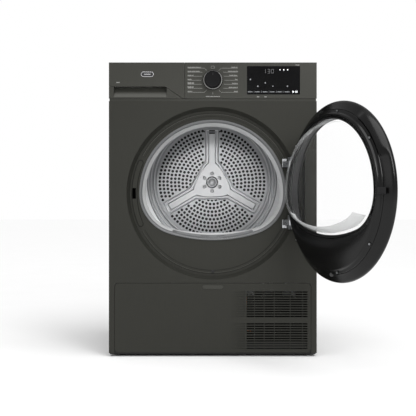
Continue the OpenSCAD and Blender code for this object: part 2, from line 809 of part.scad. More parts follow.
// The belt's outline with its drum end up: two arcs and the straights between them.
function belt_side(grow) = concat(
    [for (i = [0 : 72]) let (a = -belt_tan + (180 + 2 * belt_tan) * i / 72)
        [(drum_r + gap + grow) * cos(a), belt_d + (drum_r + gap + grow) * sin(a)]],
    [for (i = [0 : 10]) let (a = 180 + belt_tan + (180 - 2 * belt_tan) * i / 10)
        [(pulley_r + gap + grow) * cos(a), (pulley_r + gap + grow) * sin(a)]]);

module drive_belt() {
    color("#1d1d1d") translate([scroll_x, 0, scroll_z]) rotate([0, -belt_ang, 0])
        plate_y(belt_y, belt_w) difference() {
            polygon(belt_side(belt_t));
            polygon(belt_side(0));
        }
}

module motor_body() {
    color("#b4b6b8") difference() {
        union() {
            disc_y(motor_r, motor_y[0], motor_y[1] - motor_y[0], scroll_x, scroll_z);
            block([scroll_x - 50, motor_y[0] + 10, pan_z + pan_t],
                [scroll_x + 50, motor_y[0] + 16, scroll_z]);
            block([scroll_x - 50, motor_y[1] - 16, pan_z + pan_t],
                [scroll_x + 50, motor_y[1] - 10, scroll_z]);
        }
        disc_y(motor_shaft_r + run, motor_y[0] - 1, motor_y[1] - motor_y[0] + 2, scroll_x, scroll_z);
    }
}

motor_shaft_r = 6;
fan_y = [motor_y[1] + 22, motor_y[1] + 66];

module motor_rotor() {
    color("#7d8082") {
        disc_y(motor_shaft_r, belt_y - 8, fan_y[1] - belt_y + 4, scroll_x, scroll_z);
        disc_y(pulley_r, belt_y - 3, belt_w + 6, scroll_x, scroll_z);
        disc_y(pulley_r + 5, belt_y - 5, 2, scroll_x, scroll_z);
    }
}

module process_fan() {
    color("#3b3d3f") difference() {
        union() {
            disc_y(fan_r, fan_y[0], 2.5, scroll_x, scroll_z);
            tube_y(fan_r, fan_r - 3, fan_y[1] - 4, 4, scroll_x, scroll_z);
            for (i = [0 : 23])
                translate([scroll_x, 0, scroll_z]) rotate([0, 15 * i, 0]) rotate([0, 24, 0])
                    block([fan_r * 0.8, fan_y[0] + 1, -18], [fan_r * 0.8 + 2, fan_y[1] - 1, 4]);
            disc_y(16, fan_y[0], 24, scroll_x, scroll_z);
        }
        disc_y(motor_shaft_r + 0.01, fan_y[0] - 1, 60, scroll_x, scroll_z);
    }
}

module fan_housing() {
    r = fan_r + 8;
    color("#a2a4a3") difference() {
        disc_y(r + 2.5, fan_y[0] - 8, body_d - sheet_t - gap - fan_y[0] + 8, scroll_x, scroll_z);
        disc_y(r, fan_y[0] - 5.5, body_d, scroll_x, scroll_z);
        disc_y(34, fan_y[0] - 10, 10, scroll_x, scroll_z);
    }
}

// ---- heat pump ----

comp = [206, 184];
comp_r = 58;

module compressor() {
    z = pan_z + pan_t;
    color("#26282a") {
        translate([comp[0], comp[1], z + 8]) rotate_extrude() polygon([[0, 0], [comp_r - 14, 0],
            [comp_r - 4, 6], [comp_r, 16], [comp_r, 112], [comp_r - 6, 128], [comp_r - 22, 140],
            [0, 144]]);
        for (a = [45, 135, 225, 315])
            translate([comp[0] + 52 * cos(a), comp[1] + 52 * sin(a), z]) cylinder(r = 11, h = 15);
    }
}

coil_x = [-half_w + 40, 80];
coil_z = [pan_z + pan_t, 172];

module coil_block(y0, y1, shade) {
    color(shade) {
        for (i = [0 : 23]) {
            x = coil_x[0] + 6 + i * (coil_x[1] - coil_x[0] - 14) / 23;
            block([x, y0, coil_z[0]], [x + 2, y1, coil_z[1]]);
        }
        for (j = [0 : 3])
            translate([coil_x[0] - 4, (y0 + y1) / 2 + (j % 2 == 0 ? -24 : 24), coil_z[0] + 24 + 34 * j])
                rotate([0, 90, 0]) cylinder(r = 5, h = coil_x[1] - coil_x[0] + 8);
    }
}

module evaporator() {
    coil_block(124, 226, "#c5c9cc");
}

module condenser() {
    coil_block(250, 370, "#b8a48c");
}

module pipe(points, r) {
    for (i = [0 : len(points) - 2]) {
        v = points[i + 1] - points[i];
        translate(points[i]) rotate([0, acos(v[2] / norm(v)), atan2(v[1], v[0])])
            cylinder(r = r, h = norm(v));
        translate(points[i + 1]) sphere(r = r, $fn = 24);
    }
}

module refrigerant_pipes() {
    z = pan_z + pan_t;
    color("#b5743c") {
        pipe([[comp[0], comp[1], z + 152.5], [comp[0], comp[1], z + 170], [110, comp[1], z + 170],
            [110, 300, z + 170], [110, 300, z + 92], [90, 300, z + 92]], 4);
        pipe([[comp[0] - comp_r - 0.5, comp[1], z + 40], [104, comp[1], z + 40], [90, comp[1], z + 40]], 4);
    }
}

cool = [189, 100];
cool_y = 38;

module cooling_fan_frame() {
    color("#1b1b1c") {
        difference() {
            plate_y(cool_y, 26) difference() {
                round_rect(cool[0] - 71, cool[1] - 62.5, 142, 125, 10);
                translate(cool) circle(r = cool_r + 2);
            }
            block([cool[0] - 64, cool_y + 4, cool[1] - 56], [cool[0] - 50, cool_y + 30, cool[1] + 56]);
            block([cool[0] + 50, cool_y + 4, cool[1] - 56], [cool[0] + 64, cool_y + 30, cool[1] + 56]);
        }
        tube_y(16, 3 + run, cool_y + 20, 6, cool[0], cool[1]);
        translate([cool[0], 0, cool[1]]) for (a = [45, 135, 225, 315])
            rotate([0, a, 0]) block([14, cool_y + 21, -2], [cool_r + 4, cool_y + 25, 2]);
        for (x = [-60, 40])
            block([cool[0] + x, cool_y + 6, pan_z + pan_t], [cool[0] + x + 20, cool_y + 20, cool[1] - 62]);
    }
}

module cooling_fan_rotor() {
    color("#39393b") {
        disc_y(3, cool_y + 3, 23, cool[0], cool[1]);
        disc_y(15, cool_y + 3, 15, cool[0], cool[1]);
        for (i = [0 : 6])
            translate([cool[0], cool_y + 10, cool[1]]) rotate([0, i * 360 / 7, 0])
                rotate([38, 0, 0]) block([13, -1, -9], [cool_r - 1, 1, 9]);
    }
}

module condensate_pump() {
    z = pan_z + pan_t;
    color("#e0dfda") {
        translate([-half_w + 90, 470, z]) cylinder(r = 34, h = 58);
        translate([-half_w + 90, 470, z + 58]) cylinder(r = 20, h = 42);
        translate([-half_w + 90, 470, z + 30]) rotate([0, 90, 0]) cylinder(r = 8, h = 60);
    }
}

// ---- lint filter ----

filter_half = chute_w - 1.5;
filter_low = chute_z + 1;

lid_arc = 440;            // radius of the lid's hollow top, which follows the tunnel's floor

module lint_filter() {
    y0 = chute_y + 1;
    y1 = chute_y + chute_d - 1;
    arc_z = port_z + lid_arc - collar_in_drop;
    color("#a6a8a7") difference() {
        block([-filter_half, y0, filter_low], [filter_half, y1, filter_top + 18]);
        lathe_y(arc_z, [[0, y0 - 1], [lid_arc + 11, y0 - 1], [lid_arc + 5, y1 + 1], [0, y1 + 1]]);
        block([-filter_half + 8, y0 + 6, filter_low + 6],
            [filter_half - 8, y1 - 6, filter_top - 24]);
        for (s = [-1, 1]) {
            block([s * 56 - 46, y0 - 1, filter_low + 12], [s * 56 + 46, y1 + 1, filter_top - 40]);
            block([s * 23 - 10.5, y0 + 9, filter_top - 20], [s * 23 + 10.5, y0 + 15, filter_top + 20]);
        }
    }
}

module lint_mesh() {
    y0 = chute_y + 1;
    y1 = chute_y + chute_d - 1;
    color("#d9d9d6") for (y = [y0 + 5.2, y1 - 5.9])
        for (s = [-1, 1])
            block([s * 56 - 46, y, filter_low + 12], [s * 56 + 46, y + 0.7, filter_top - 40]);
}

// ---- kick cover ----

kick_t = 2.5;
slot_h = 3.8;
slot_x = [96.9, 271.9];
latch_z = kick_top - 10.6;
kick_hinge = [8, 15];
groove_x = 53.7;          // where the grooves that lead into the slots start
groove_w = 13.06;         // width of each of their three steps

module kick_slots_2d(z_top) {
    for (i = [0 : kick_slots - 1])
        translate([slot_x[0], z_top - slot_h - i * slot_pitch])
            square([slot_x[1] - slot_x[0], slot_h]);
}

module kick_cover() {
    color("#3e3e39") {
        difference() {
            plate_y(0, kick_t) difference() {
                round_rect(-kick_half, skirt_z + 2, 2 * kick_half, kick_top - skirt_z - 2, kick_r);
                kick_slots_2d(187.5);
                kick_slots_2d(96);
                round_rect(-30.2, latch_z - 6.3, 60.4, 12.6, 6.2);
            }
            for (z0 = [187.5, 96])
                for (i = [0 : kick_slots - 1])
                    for (j = [0 : 2])
                        block([groove_x + j * groove_w, -1, z0 - slot_h - i * slot_pitch + 0.2],
                            [groove_x + (j + 1) * groove_w, 0.5 + 0.6 * j, z0 - i * slot_pitch - 0.2]);
        }
        for (x = [-kick_half + 20, kick_half - 40])
            translate([x, 0, 0]) {
                block([0, kick_t, kick_hinge[1] - 3], [20, kick_hinge[0], kick_hinge[1] + 3]);
                translate([0, kick_hinge[0], kick_hinge[1]])
                    rotate([0, 90, 0]) cylinder(r = 3, h = 20);
            }
        for (x = [119, 147, 176, 222, 257])
            block([x, kick_t, 22], [x + 2, kick_t + 5, 192]);
        block([-36, kick_t, latch_z - 11], [36, kick_t + 2, latch_z - 8]);
    }
}

module kick_latch() {
    color("#33342f") {
        plate_y(0.4, 4.6) round_rect(-29.6, latch_z - 5.7, 59.2, 11.4, 5.6);
    }
}

// ---- the nodes ----

base_pan();
side_panel(-1);  // side_panel_left
side_panel(1);  // side_panel_right
rear_panel();
rear_duct_cover();
worktop();
front_panel();
porthole_collar();
filter_chute();
control_fascia();
display_glass();
display_board();
control_board();
knob();
badge_plate();
tank_front();
water_tank();
tank_guide();
hinge_bracket();
door_catch();
door_ring();
door_frame();
door_bowl();
door_window();
door_hook();
door_hinge_arm();
door_screws();
drum_shell();
drum_back();
drum_star();
drum_rivets();
drum_lifters();
drum_shaft();
rear_bearing();
front_felt();
roller(-1);  // roller_left
roller(1);  // roller_right
roller_brackets();
drive_belt();
motor_body();
motor_rotor();
process_fan();
fan_housing();
compressor();
evaporator();
condenser();
refrigerant_pipes();
cooling_fan_frame();
cooling_fan_rotor();
condensate_pump();
lint_filter();
lint_mesh();
kick_cover();
kick_latch();
foot(-foot_x, foot_y[0]);  // foot_front_left
foot(foot_x, foot_y[0]);  // foot_front_right
foot(-foot_x, foot_y[1]);  // foot_rear_left
foot(foot_x, foot_y[1]);  // foot_rear_right
mains_gland();
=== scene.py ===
import json
import math
from math import cos, hypot, radians, sin, sqrt, tau

import bmesh
import bpy
from bpy.props import FloatProperty, FloatVectorProperty, IntProperty, PointerProperty
from mathutils import Matrix, Vector


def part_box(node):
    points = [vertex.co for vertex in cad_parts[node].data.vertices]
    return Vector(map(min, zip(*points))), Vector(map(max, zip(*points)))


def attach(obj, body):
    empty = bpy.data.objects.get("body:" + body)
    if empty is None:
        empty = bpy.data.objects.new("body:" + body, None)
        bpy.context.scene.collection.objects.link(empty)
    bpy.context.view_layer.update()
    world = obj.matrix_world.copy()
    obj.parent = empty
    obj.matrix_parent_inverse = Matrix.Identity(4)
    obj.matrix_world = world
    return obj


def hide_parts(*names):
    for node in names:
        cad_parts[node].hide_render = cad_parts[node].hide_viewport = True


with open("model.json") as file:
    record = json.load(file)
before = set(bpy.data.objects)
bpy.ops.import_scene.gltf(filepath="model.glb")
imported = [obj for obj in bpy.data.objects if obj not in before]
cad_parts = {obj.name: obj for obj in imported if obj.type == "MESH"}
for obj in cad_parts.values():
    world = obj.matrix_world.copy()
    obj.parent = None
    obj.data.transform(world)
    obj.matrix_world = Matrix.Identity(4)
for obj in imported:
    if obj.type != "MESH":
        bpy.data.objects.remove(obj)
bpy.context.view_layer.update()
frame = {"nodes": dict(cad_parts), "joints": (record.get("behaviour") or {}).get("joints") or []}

bl_info = {
    "name": "Clothes Dryer",
    "version": (1, 0, 0),
    "blender": (4, 5, 0),
    "location": "View3D > Sidebar > Dryer",
    "description": "Builds the visible pieces and finishes of a heat-pump clothes dryer",
    "category": "Object",
}

MM = 0.001
JOINTS = {joint["name"]: joint for joint in frame["joints"]}
HINGE = Vector(JOINTS["door_hinge"]["pos_m"])
DRUM_Z = JOINTS["drum_spin"]["pos_m"][2]
PORT_Z = HINGE.z
DOOR_OPEN = radians(-JOINTS["door_hinge"]["range_deg"][0])
BODY_LOW, BODY_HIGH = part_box("worktop")
FASCIA_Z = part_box("display_glass")[0].z - 11.3 * MM
BACK_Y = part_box("drum_back")[0].y + 9 * MM
DOOR_FROM_CLOSED = (
    Matrix.Translation(HINGE) @ Matrix.Rotation(DOOR_OPEN, 4, "Z") @ Matrix.Translation(-HINGE)
)
LOFT_STEPS = 144


# ---- shapes ----


def d_reach(angle, radius, drop, corner):
    """Distance from the centre to a D-shaped edge: round above, flattened below."""
    if sin(angle) >= 0:
        return radius
    inset = radius - corner
    big = (inset ** 2 + drop ** 2 - corner ** 2) / (2 * (drop - corner))
    rise = big - drop
    length = hypot(inset, rise)
    touch_x = inset + corner * inset / length
    touch_z = corner * rise / length
    across, down = abs(cos(angle)), -sin(angle)
    if down * touch_x < touch_z * across:
        return across * inset + sqrt((across * inset) ** 2 - inset ** 2 + corner ** 2)
    return -down * rise + sqrt((down * rise) ** 2 - rise ** 2 + big ** 2)


def loop_angles():
    return [tau * step / LOFT_STEPS for step in range(LOFT_STEPS)]


def d_loop(radius, drop, y, corner=None):
    """A D-shaped loop about the porthole's centre, in millimetres."""
    corner = min(radius - 90.8, drop - 6) if corner is None else corner
    points = []
    for angle in loop_angles():
        reach = d_reach(angle, radius, drop, corner)
        points.append(Vector((reach * cos(angle), y, reach * sin(angle))) * MM
                      + Vector((0, 0, PORT_Z)))
    return points


def round_loop(radius, y, wave=None):
    """A round loop about the porthole's centre; wave shifts its radius and depth by angle."""
    points = []
    for angle in loop_angles():
        shift, sink = wave(angle) if wave else (0, 0)
        reach = radius + shift
        points.append(Vector((reach * cos(angle), y + sink, reach * sin(angle))) * MM
                      + Vector((0, 0, PORT_Z)))
    return points


def loft(loops, closed=False, cap_start=False, cap_end=False):
    """Faces between loops of equal length; closed joins the last loop to the first."""
    verts = [point for loop in loops for point in loop]
    count, size = len(loops), len(loops[0])
    faces = []
    for row in range(count if closed else count - 1):
        here, there = row * size, ((row + 1) % count) * size
        for step in range(size):
            after = (step + 1) % size
            faces.append((here + step, here + after, there + after, there + step))
    if cap_start:
        faces.append(tuple(range(size - 1, -1, -1)))
    if cap_end:
        faces.append(tuple((count - 1) * size + step for step in range(size)))
    return verts, faces


def lathe(profile, centre, steps=128, closed=False):
    """Turns (radius, y) points in millimetres round an axis along Y through centre."""
    loops = []
    for radius, y in profile:
        loops.append([
            Vector((max(radius, 0.01) * cos(tau * s / steps), y,
                    max(radius, 0.01) * sin(tau * s / steps))) * MM
            + Vector((centre[0], 0, centre[1]))
            for s in range(steps)])
    solid_ends = not closed
    return loft(loops, closed=closed, cap_start=solid_ends, cap_end=solid_ends)


def prism(outline, y0, y1):
    """An outline of (x, z) points in metres, made solid from y0 to y1."""
    front = [Vector((x, y0, z)) for x, z in outline]
    back = [Vector((x, y1, z)) for x, z in outline]
    return loft([front, back], cap_start=True, cap_end=True)


def join(*shapes):
    verts, faces = [], []
    for more_verts, more_faces in shapes:
        start = len(verts)
        verts += more_verts
        faces += [tuple(start + index for index in face) for face in more_faces]
    return verts, faces


def block(low, high):
    """A box between two corners, in millimetres."""
    low, high = Vector(low) * MM, Vector(high) * MM
    outline = [(low.x, low.z), (high.x, low.z), (high.x, high.z), (low.x, high.z)]
    return prism(outline, low.y, high.y)


def round_outline(x0, z0, x1, z1, radius, steps=6):
    """A rectangle with round corners, as (x, z) points in metres from millimetres."""
    centres = [(x1 - radius, z1 - radius, 0), (x0 + radius, z1 - radius, 90),
               (x0 + radius, z0 + radius, 180), (x1 - radius, z0 + radius, 270)]
    return [((cx + radius * cos(radians(start + 90 * s / steps))) * MM,
             (cz + radius * sin(radians(start + 90 * s / steps))) * MM)
            for cx, cz, start in centres for s in range(steps + 1)]


def circle(x, z, radius, count, squash=1.0):
    """Points round a centre, as (x, z) points in metres from millimetres."""
    return [((x + radius * cos(tau * s / count)) * MM,
             (z + squash * radius * sin(tau * s / count)) * MM) for s in range(count)]


def arc(x, z, radius, start, end, steps):
    """Points along an arc, in millimetres and degrees, with both ends."""
    turns = [radians(start + (end - start) * s / steps) for s in range(steps + 1)]
    return [(x + radius * cos(a), z + radius * sin(a)) for a in turns]


def moved(shape, matrix):
    verts, faces = shape
    return [matrix @ vert for vert in verts], faces


def swung(shape):
    """A door shape drawn closed, turned to where the door stands open."""
    return moved(shape, DOOR_FROM_CLOSED)


def outward(n):
    """The Y of a point n millimetres outward from the closed door's hinge plane."""
    return HINGE.y / MM - n


def door_lathe(profile, centre, steps=128, closed=False):
    """Turns (radius, distance outward) points on the door, drawn closed, and opens it."""
    return swung(lathe([(radius, outward(n)) for radius, n in profile], centre, steps, closed))


def turned(shape, degrees, centre):
    middle = Vector((centre[0], 0, centre[1]))
    spin = Matrix.Rotation(radians(degrees), 4, "Y")
    return moved(shape, Matrix.Translation(middle) @ spin @ Matrix.Translation(-middle))


def link(thing):
    bpy.context.scene.collection.objects.link(thing)


def shade(mesh, sharp=35):
    mesh.polygons.foreach_set("use_smooth", [True] * len(mesh.polygons))
    mesh.set_sharp_from_angle(angle=radians(sharp))
    mesh.update()


def add_piece(name, shape, body, material, replaces=(), bevel=0.0, sharp=35, subdivide=0,
              segments=2):
    verts, faces = shape
    mesh = bpy.data.meshes.new(name)
    mesh.from_pydata([tuple(v) for v in verts], [], faces)
    edit = bmesh.new()
    edit.from_mesh(mesh)
    bmesh.ops.remove_doubles(edit, verts=edit.verts, dist=1e-6)
    bmesh.ops.recalc_face_normals(edit, faces=edit.faces)
    edit.to_mesh(mesh)
    edit.free()
    shade(mesh, sharp)
    piece = bpy.data.objects.new(name, mesh)
    link(piece)
    piece.data.materials.append(material)
    if subdivide:
        rounder = piece.modifiers.new("rounding", "SUBSURF")
        rounder.levels = rounder.render_levels = subdivide
    if bevel:
        edge = piece.modifiers.new("edges", "BEVEL")
        edge.width = bevel * MM
        edge.segments = segments
        edge.limit_method = "ANGLE"
        edge.angle_limit = radians(40)
        edge.harden_normals = True
    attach(piece, body)
    if replaces:
        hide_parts(*replaces)
    return piece


def finish_nodes(material, *names, sharp=28):
    """Gives CAD nodes their finish and shades their round faces smooth."""
    for name in names:
        node = frame["nodes"][name]
        node.data.materials.clear()
        node.data.materials.append(material)
        shade(node.data, sharp)


# ---- finishes ----


def linear(red, green, blue):
    """Display values from 0 to 255 as the shader's linear colour."""
    def one(value):
        value /= 255
        return value / 12.92 if value <= 0.04045 else ((value + 0.055) / 1.055) ** 2.4
    return (one(red), one(green), one(blue), 1.0)


def scaled(colour, factor):
    return tuple(min(1.0, channel * factor) for channel in colour[:3]) + (1.0,)


def finish(name, colour, roughness, metal=0.0, mottle=0.06, grain=90.0, stretch=(1, 1, 1),
           bump=0.04, spread=0.06, coat=0.0, specular=0.5, depth=0.0004):
    """A surface whose colour, roughness and fine relief vary with two sizes of noise."""
    known = bpy.data.materials.get(name)
    if known:
        return known
    material = bpy.data.materials.new(name)
    material.use_nodes = True
    nodes, links = material.node_tree.nodes, material.node_tree.links
    shader = nodes["Principled BSDF"]
    shader.inputs["Metallic"].default_value = metal
    shader.inputs["Specular IOR Level"].default_value = specular
    shader.inputs["Coat Weight"].default_value = coat
    shader.inputs["Coat Roughness"].default_value = 0.06
    place = nodes.new("ShaderNodeTexCoord")
    mapping = nodes.new("ShaderNodeMapping")
    mapping.inputs["Scale"].default_value = stretch
    links.new(place.outputs["Object"], mapping.inputs["Vector"])
    fine = nodes.new("ShaderNodeTexNoise")
    fine.inputs["Scale"].default_value = grain
    fine.inputs["Detail"].default_value = 5
    links.new(mapping.outputs["Vector"], fine.inputs["Vector"])
    broad = nodes.new("ShaderNodeTexNoise")
    broad.inputs["Scale"].default_value = 3.0
    links.new(place.outputs["Object"], broad.inputs["Vector"])
    both = nodes.new("ShaderNodeMath")
    both.operation = "MULTIPLY_ADD"
    both.inputs[1].default_value = 0.35
    links.new(broad.outputs["Fac"], both.inputs[0])
    links.new(fine.outputs["Fac"], both.inputs[2])
    tone = nodes.new("ShaderNodeValToRGB")
    tone.color_ramp.elements[0].position = 0.35
    tone.color_ramp.elements[1].position = 1.0
    tone.color_ramp.elements[0].color = scaled(colour, 1 - mottle)
    tone.color_ramp.elements[1].color = scaled(colour, 1 + mottle)
    links.new(both.outputs[0], tone.inputs["Fac"])
    links.new(tone.outputs["Color"], shader.inputs["Base Color"])
    gloss = nodes.new("ShaderNodeMapRange")
    gloss.inputs["To Min"].default_value = max(0.02, roughness - spread)
    gloss.inputs["To Max"].default_value = roughness + spread
    links.new(fine.outputs["Fac"], gloss.inputs["Value"])
    links.new(gloss.outputs["Result"], shader.inputs["Roughness"])
    relief = nodes.new("ShaderNodeBump")
    relief.inputs["Strength"].default_value = bump
    relief.inputs["Distance"].default_value = depth
    links.new(fine.outputs["Fac"], relief.inputs["Height"])
    links.new(relief.outputs["Normal"], shader.inputs["Normal"])
    return material


# Each paint is the cabinet's colour times a factor, with a roughness and a surface.
PAINTS = {
    "dark_metallic_paint": (1.0, 0.48, dict(metal=0.3, mottle=0.07, grain=60,
                                            stretch=(9, 9, 0.25), bump=0.02, specular=0.15)),
    "fascia_paint": (1.3, 0.34, dict(metal=0.3, grain=70, stretch=(8, 8, 0.3), bump=0.02,
                                     specular=0.3)),
    "drawer_paint_with_painted_shade": (1.3, 0.36, dict(metal=0.2, grain=70, stretch=(8, 8, 0.3), bump=0.02,
                                     specular=0.25)),
    # Darker and lighter copies of the cabinet paint: painted shade for lines, lips and gaps, and a
    # painted highlight for one lit edge.
    "painted_shade_paint": (0.4, 0.5, dict(mottle=0.05, grain=70, bump=0.0, specular=0.1)),
    "painted_highlight_paint": (1.9, 0.4, dict(mottle=0.05, grain=70, bump=0.0, specular=0.3)),
}

# Each finish has a display colour from 0 to 255, a roughness and a surface.
FINISHES = {
    "badge_metal": ((205, 205, 203), 0.3, dict(metal=0.6, mottle=0.05, grain=300, bump=0.03)),
    "board_green": ((22, 74, 44), 0.35, dict(mottle=0.3, grain=180, bump=0.1)),
    "cast_metal": ((140, 142, 145), 0.5, dict(metal=0.9, mottle=0.15, grain=350, bump=0.3)),
    "copper_tube": ((184, 115, 72), 0.3, dict(metal=1.0, mottle=0.15, grain=80)),
    "dark_steel": ((80, 81, 83), 0.3, dict(metal=1.0, grain=30, bump=0.0)),
    "deep_black": ((5, 5, 5), 0.85, dict(mottle=0.1, grain=200, bump=0.05, specular=0.06)),
    # A lighter copy of the drum's steel for its rear dish: a painted highlight for the light it
    # reflects.
    "dish_steel_painted_highlight": ((236, 237, 238), 0.42, dict(metal=0.7, mottle=0.03, grain=30, bump=0.0,
                                               spread=0.05)),
    "drum_steel": ((196, 197, 199), 0.34, dict(metal=0.85, mottle=0.03, grain=30, bump=0.0,
                                               spread=0.04)),
    "enamel_black": ((12, 12, 13), 0.55, dict(mottle=0.1, grain=150, bump=0.08, specular=0.25)),
    "felt": ((214, 209, 196), 0.95, dict(mottle=0.15, grain=900, bump=0.8)),
    "filter_cloth": ((196, 197, 197), 0.6, dict(mottle=0.1, grain=500, bump=0.1)),
    "filter_grey": ((112, 113, 114), 0.45, dict(mottle=0.07, grain=400, bump=0.1)),
    "fin_metal": ((190, 194, 198), 0.35, dict(metal=0.9, mottle=0.1, grain=200,
                                              stretch=(1, 1, 12), bump=0.1)),
    "galvanised": ((168, 171, 174), 0.42, dict(metal=0.9, mottle=0.16, grain=45, spread=0.1)),
    "gloss_black": ((8, 8, 8), 0.22, dict(mottle=0.08, grain=25, bump=0.002, spread=0.03,
                                          specular=0.28)),
    "knob_black": ((16, 16, 17), 0.6, dict(mottle=0.08, grain=300, bump=0.03, specular=0.12)),
    # Base of the rear sheets; their inner faces get painted shade.
    "sheet_with_painted_shade": ((168, 171, 174), 0.42, dict(mottle=0.16, grain=45, spread=0.1)),
    "moulded_black": ((17, 17, 18), 0.5, dict(mottle=0.15, grain=500, bump=0.18)),
    "moulded_grey": ((150, 151, 152), 0.45, dict(mottle=0.07, grain=400, bump=0.12)),
    "moulded_white": ((215, 215, 210), 0.45, dict(mottle=0.04, grain=400, bump=0.1)),
    "opening_wall": ((34, 34, 35), 0.35, dict(mottle=0.08, grain=200, bump=0.05)),
    "print_grey": ((150, 150, 147), 0.5, dict(mottle=0.05, grain=400, bump=0.02)),
    "rim_grey": ((96, 97, 98), 0.3, dict(mottle=0.05, grain=260, bump=0.03)),
    "rubber": ((26, 26, 26), 0.75, dict(mottle=0.2, grain=600, bump=0.25)),
    "satin_black": ((9, 9, 10), 0.3, dict(mottle=0.12, grain=300, bump=0.02, specular=0.35)),
    "screen_black": ((4, 4, 5), 0.2, dict(mottle=0.05, grain=25, bump=0.0, specular=0.16)),
    "star_steel": ((238, 239, 240), 0.36, dict(metal=0.55, mottle=0.03, grain=30, bump=0.0,
                                               spread=0.03)),
    "tunnel_grey": ((214, 215, 215), 0.24, dict(mottle=0.05, grain=260, bump=0.05)),
    "worktop_laminate": ((58, 58, 55), 0.5, dict(mottle=0.12, grain=700, bump=0.15)),
    "zinc_plate": ((190, 192, 194), 0.28, dict(metal=0.95, mottle=0.08, grain=220, bump=0.06)),
}


def paint(name):
    factor, roughness, surface = PAINTS[name]
    colour = tuple(bpy.context.scene.dryer_finish.body_colour)
    return finish(name, scaled(colour, factor), roughness, **surface)


def plain(name):
    colour, roughness, surface = FINISHES[name]
    return finish(name, linear(*colour), roughness, **surface)


def tint_by_facing(material, axis, low, high, tint, tinted, other):
    """Paints a colour on the faces at one end of a range of normals along axis, used here for
    painted shade; returns the range's node.
    """
    nodes, links = material.node_tree.nodes, material.node_tree.links
    place = next(node for node in nodes if node.type == "TEX_COORD")
    facing = nodes.new("ShaderNodeSeparateXYZ")
    links.new(place.outputs["Normal"], facing.inputs["Vector"])
    side = nodes.new("ShaderNodeMapRange")
    side.inputs["From Min"].default_value = low
    side.inputs["From Max"].default_value = high
    links.new(facing.outputs[axis], side.inputs["Value"])
    both = nodes.new("ShaderNodeMix")
    both.data_type = "RGBA"
    both.inputs[tinted].default_value = tint
    links.new(side.outputs["Result"], both.inputs["Factor"])
    links.new(nodes["Color Ramp"].outputs["Color"], both.inputs[other])
    links.new(both.outputs["Result"], nodes["Principled BSDF"].inputs["Base Color"])
    return side


def drawer_paint_with_painted_shade():
    """The control panel's paint with painted shade: its upward faces, the finger scoop's ramp among
    them, take half the body colour.
    """
    material = paint("drawer_paint_with_painted_shade")
    colour = tuple(bpy.context.scene.dryer_finish.body_colour)
    # Painted shade: faces that turn upward take half the body colour.
    tint_by_facing(material, "Z", 0.03, 0.15, scaled(colour, 0.5), "B", "A")
    return material


def sheet_with_painted_shade():
    """Galvanised sheet whose inner face, the one towards the drum, is black and not metallic:
    painted shade for the dark seen through the drum's holes.
    """
    material = plain("sheet_with_painted_shade")
    outside = tint_by_facing(material, "Y", -0.5, -0.1, (0.006, 0.006, 0.006, 1), "A", "B")
    shader = material.node_tree.nodes["Principled BSDF"]
    material.node_tree.links.new(outside.outputs["Result"], shader.inputs["Metallic"])
    return material


def filter_cloth():
    """A fine woven mesh: two crossed sets of threads."""
    known = bpy.data.materials.get("filter_cloth")
    if known:
        return known
    material = plain("filter_cloth")
    nodes, links = material.node_tree.nodes, material.node_tree.links
    weave = nodes.new("ShaderNodeTexChecker")
    weave.inputs["Scale"].default_value = 900
    place = next(n for n in nodes if n.type == "TEX_COORD")
    relief = next(n for n in nodes if n.type == "BUMP")
    links.new(place.outputs["Object"], weave.inputs["Vector"])
    links.new(weave.outputs["Fac"], relief.inputs["Height"])
    relief.inputs["Strength"].default_value = 0.6
    return material


def clear_plastic(name, tint, roughness, face_on, edge_on, transmission=0.0):
    """Thin clear plastic that is denser where it is seen edge on, with faint flow marks."""
    known = bpy.data.materials.get(name)
    if known:
        return known
    material = finish(name, tint, roughness, mottle=0.02, grain=14, bump=0.002, spread=0.005)
    nodes, links = material.node_tree.nodes, material.node_tree.links
    shader = nodes["Principled BSDF"]
    shader.inputs["Transmission Weight"].default_value = transmission
    shader.inputs["IOR"].default_value = 1.3
    slant = nodes.new("ShaderNodeLayerWeight")
    slant.inputs["Blend"].default_value = 0.5
    density = nodes.new("ShaderNodeMapRange")
    density.inputs["From Min"].default_value = 0.66
    density.inputs["To Min"].default_value = face_on
    density.inputs["To Max"].default_value = edge_on
    links.new(slant.outputs["Facing"], density.inputs["Value"])
    links.new(density.outputs["Result"], shader.inputs["Alpha"])
    return material


def glowing(name, colour, strength):
    material = finish(name, colour, 0.4, mottle=0.03, grain=300, bump=0.01)
    shader = material.node_tree.nodes["Principled BSDF"]
    shader.inputs["Emission Color"].default_value = colour
    shader.inputs["Emission Strength"].default_value = strength
    return material


# ---- what a user may set ----


class DryerFinish(bpy.types.PropertyGroup):
    body_colour: FloatVectorProperty(
        name="Body colour", description="Colour of the painted cabinet", subtype="COLOR", size=3,
        min=0, max=1, default=(0.0335, 0.0335, 0.0288))
    knob_radius: FloatProperty(
        name="Knob radius", description="Radius over the programme knob's skirt",
        subtype="DISTANCE", unit="LENGTH", min=0.015, max=0.03,
        default=(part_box("knob")[1].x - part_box("knob")[0].x) / 2)
    bowl_ribs: IntProperty(
        name="Bowl ribs", description="Fine ribs across the floor of the door's clear bowl",
        min=0, max=24, default=10)


class DryerStudio(bpy.types.PropertyGroup):
    eye_distance: FloatProperty(
        name="Camera distance", description="Distance of the camera from the front panel",
        subtype="DISTANCE", unit="LENGTH", min=1, max=6, default=2.529)
    eye_height: FloatProperty(
        name="Camera height", description="Height of the camera above the floor",
        subtype="DISTANCE", unit="LENGTH", min=0.1, max=2, default=0.427)
    eye_side: FloatProperty(
        name="Camera offset", description="Sideways place of the camera",
        subtype="DISTANCE", unit="LENGTH", min=-1, max=1, default=-0.0138)
    lens: FloatProperty(
        name="Lens", description="Focal length of the camera, in millimetres",
        min=20, max=200, default=76.2)


# ---- operators ----


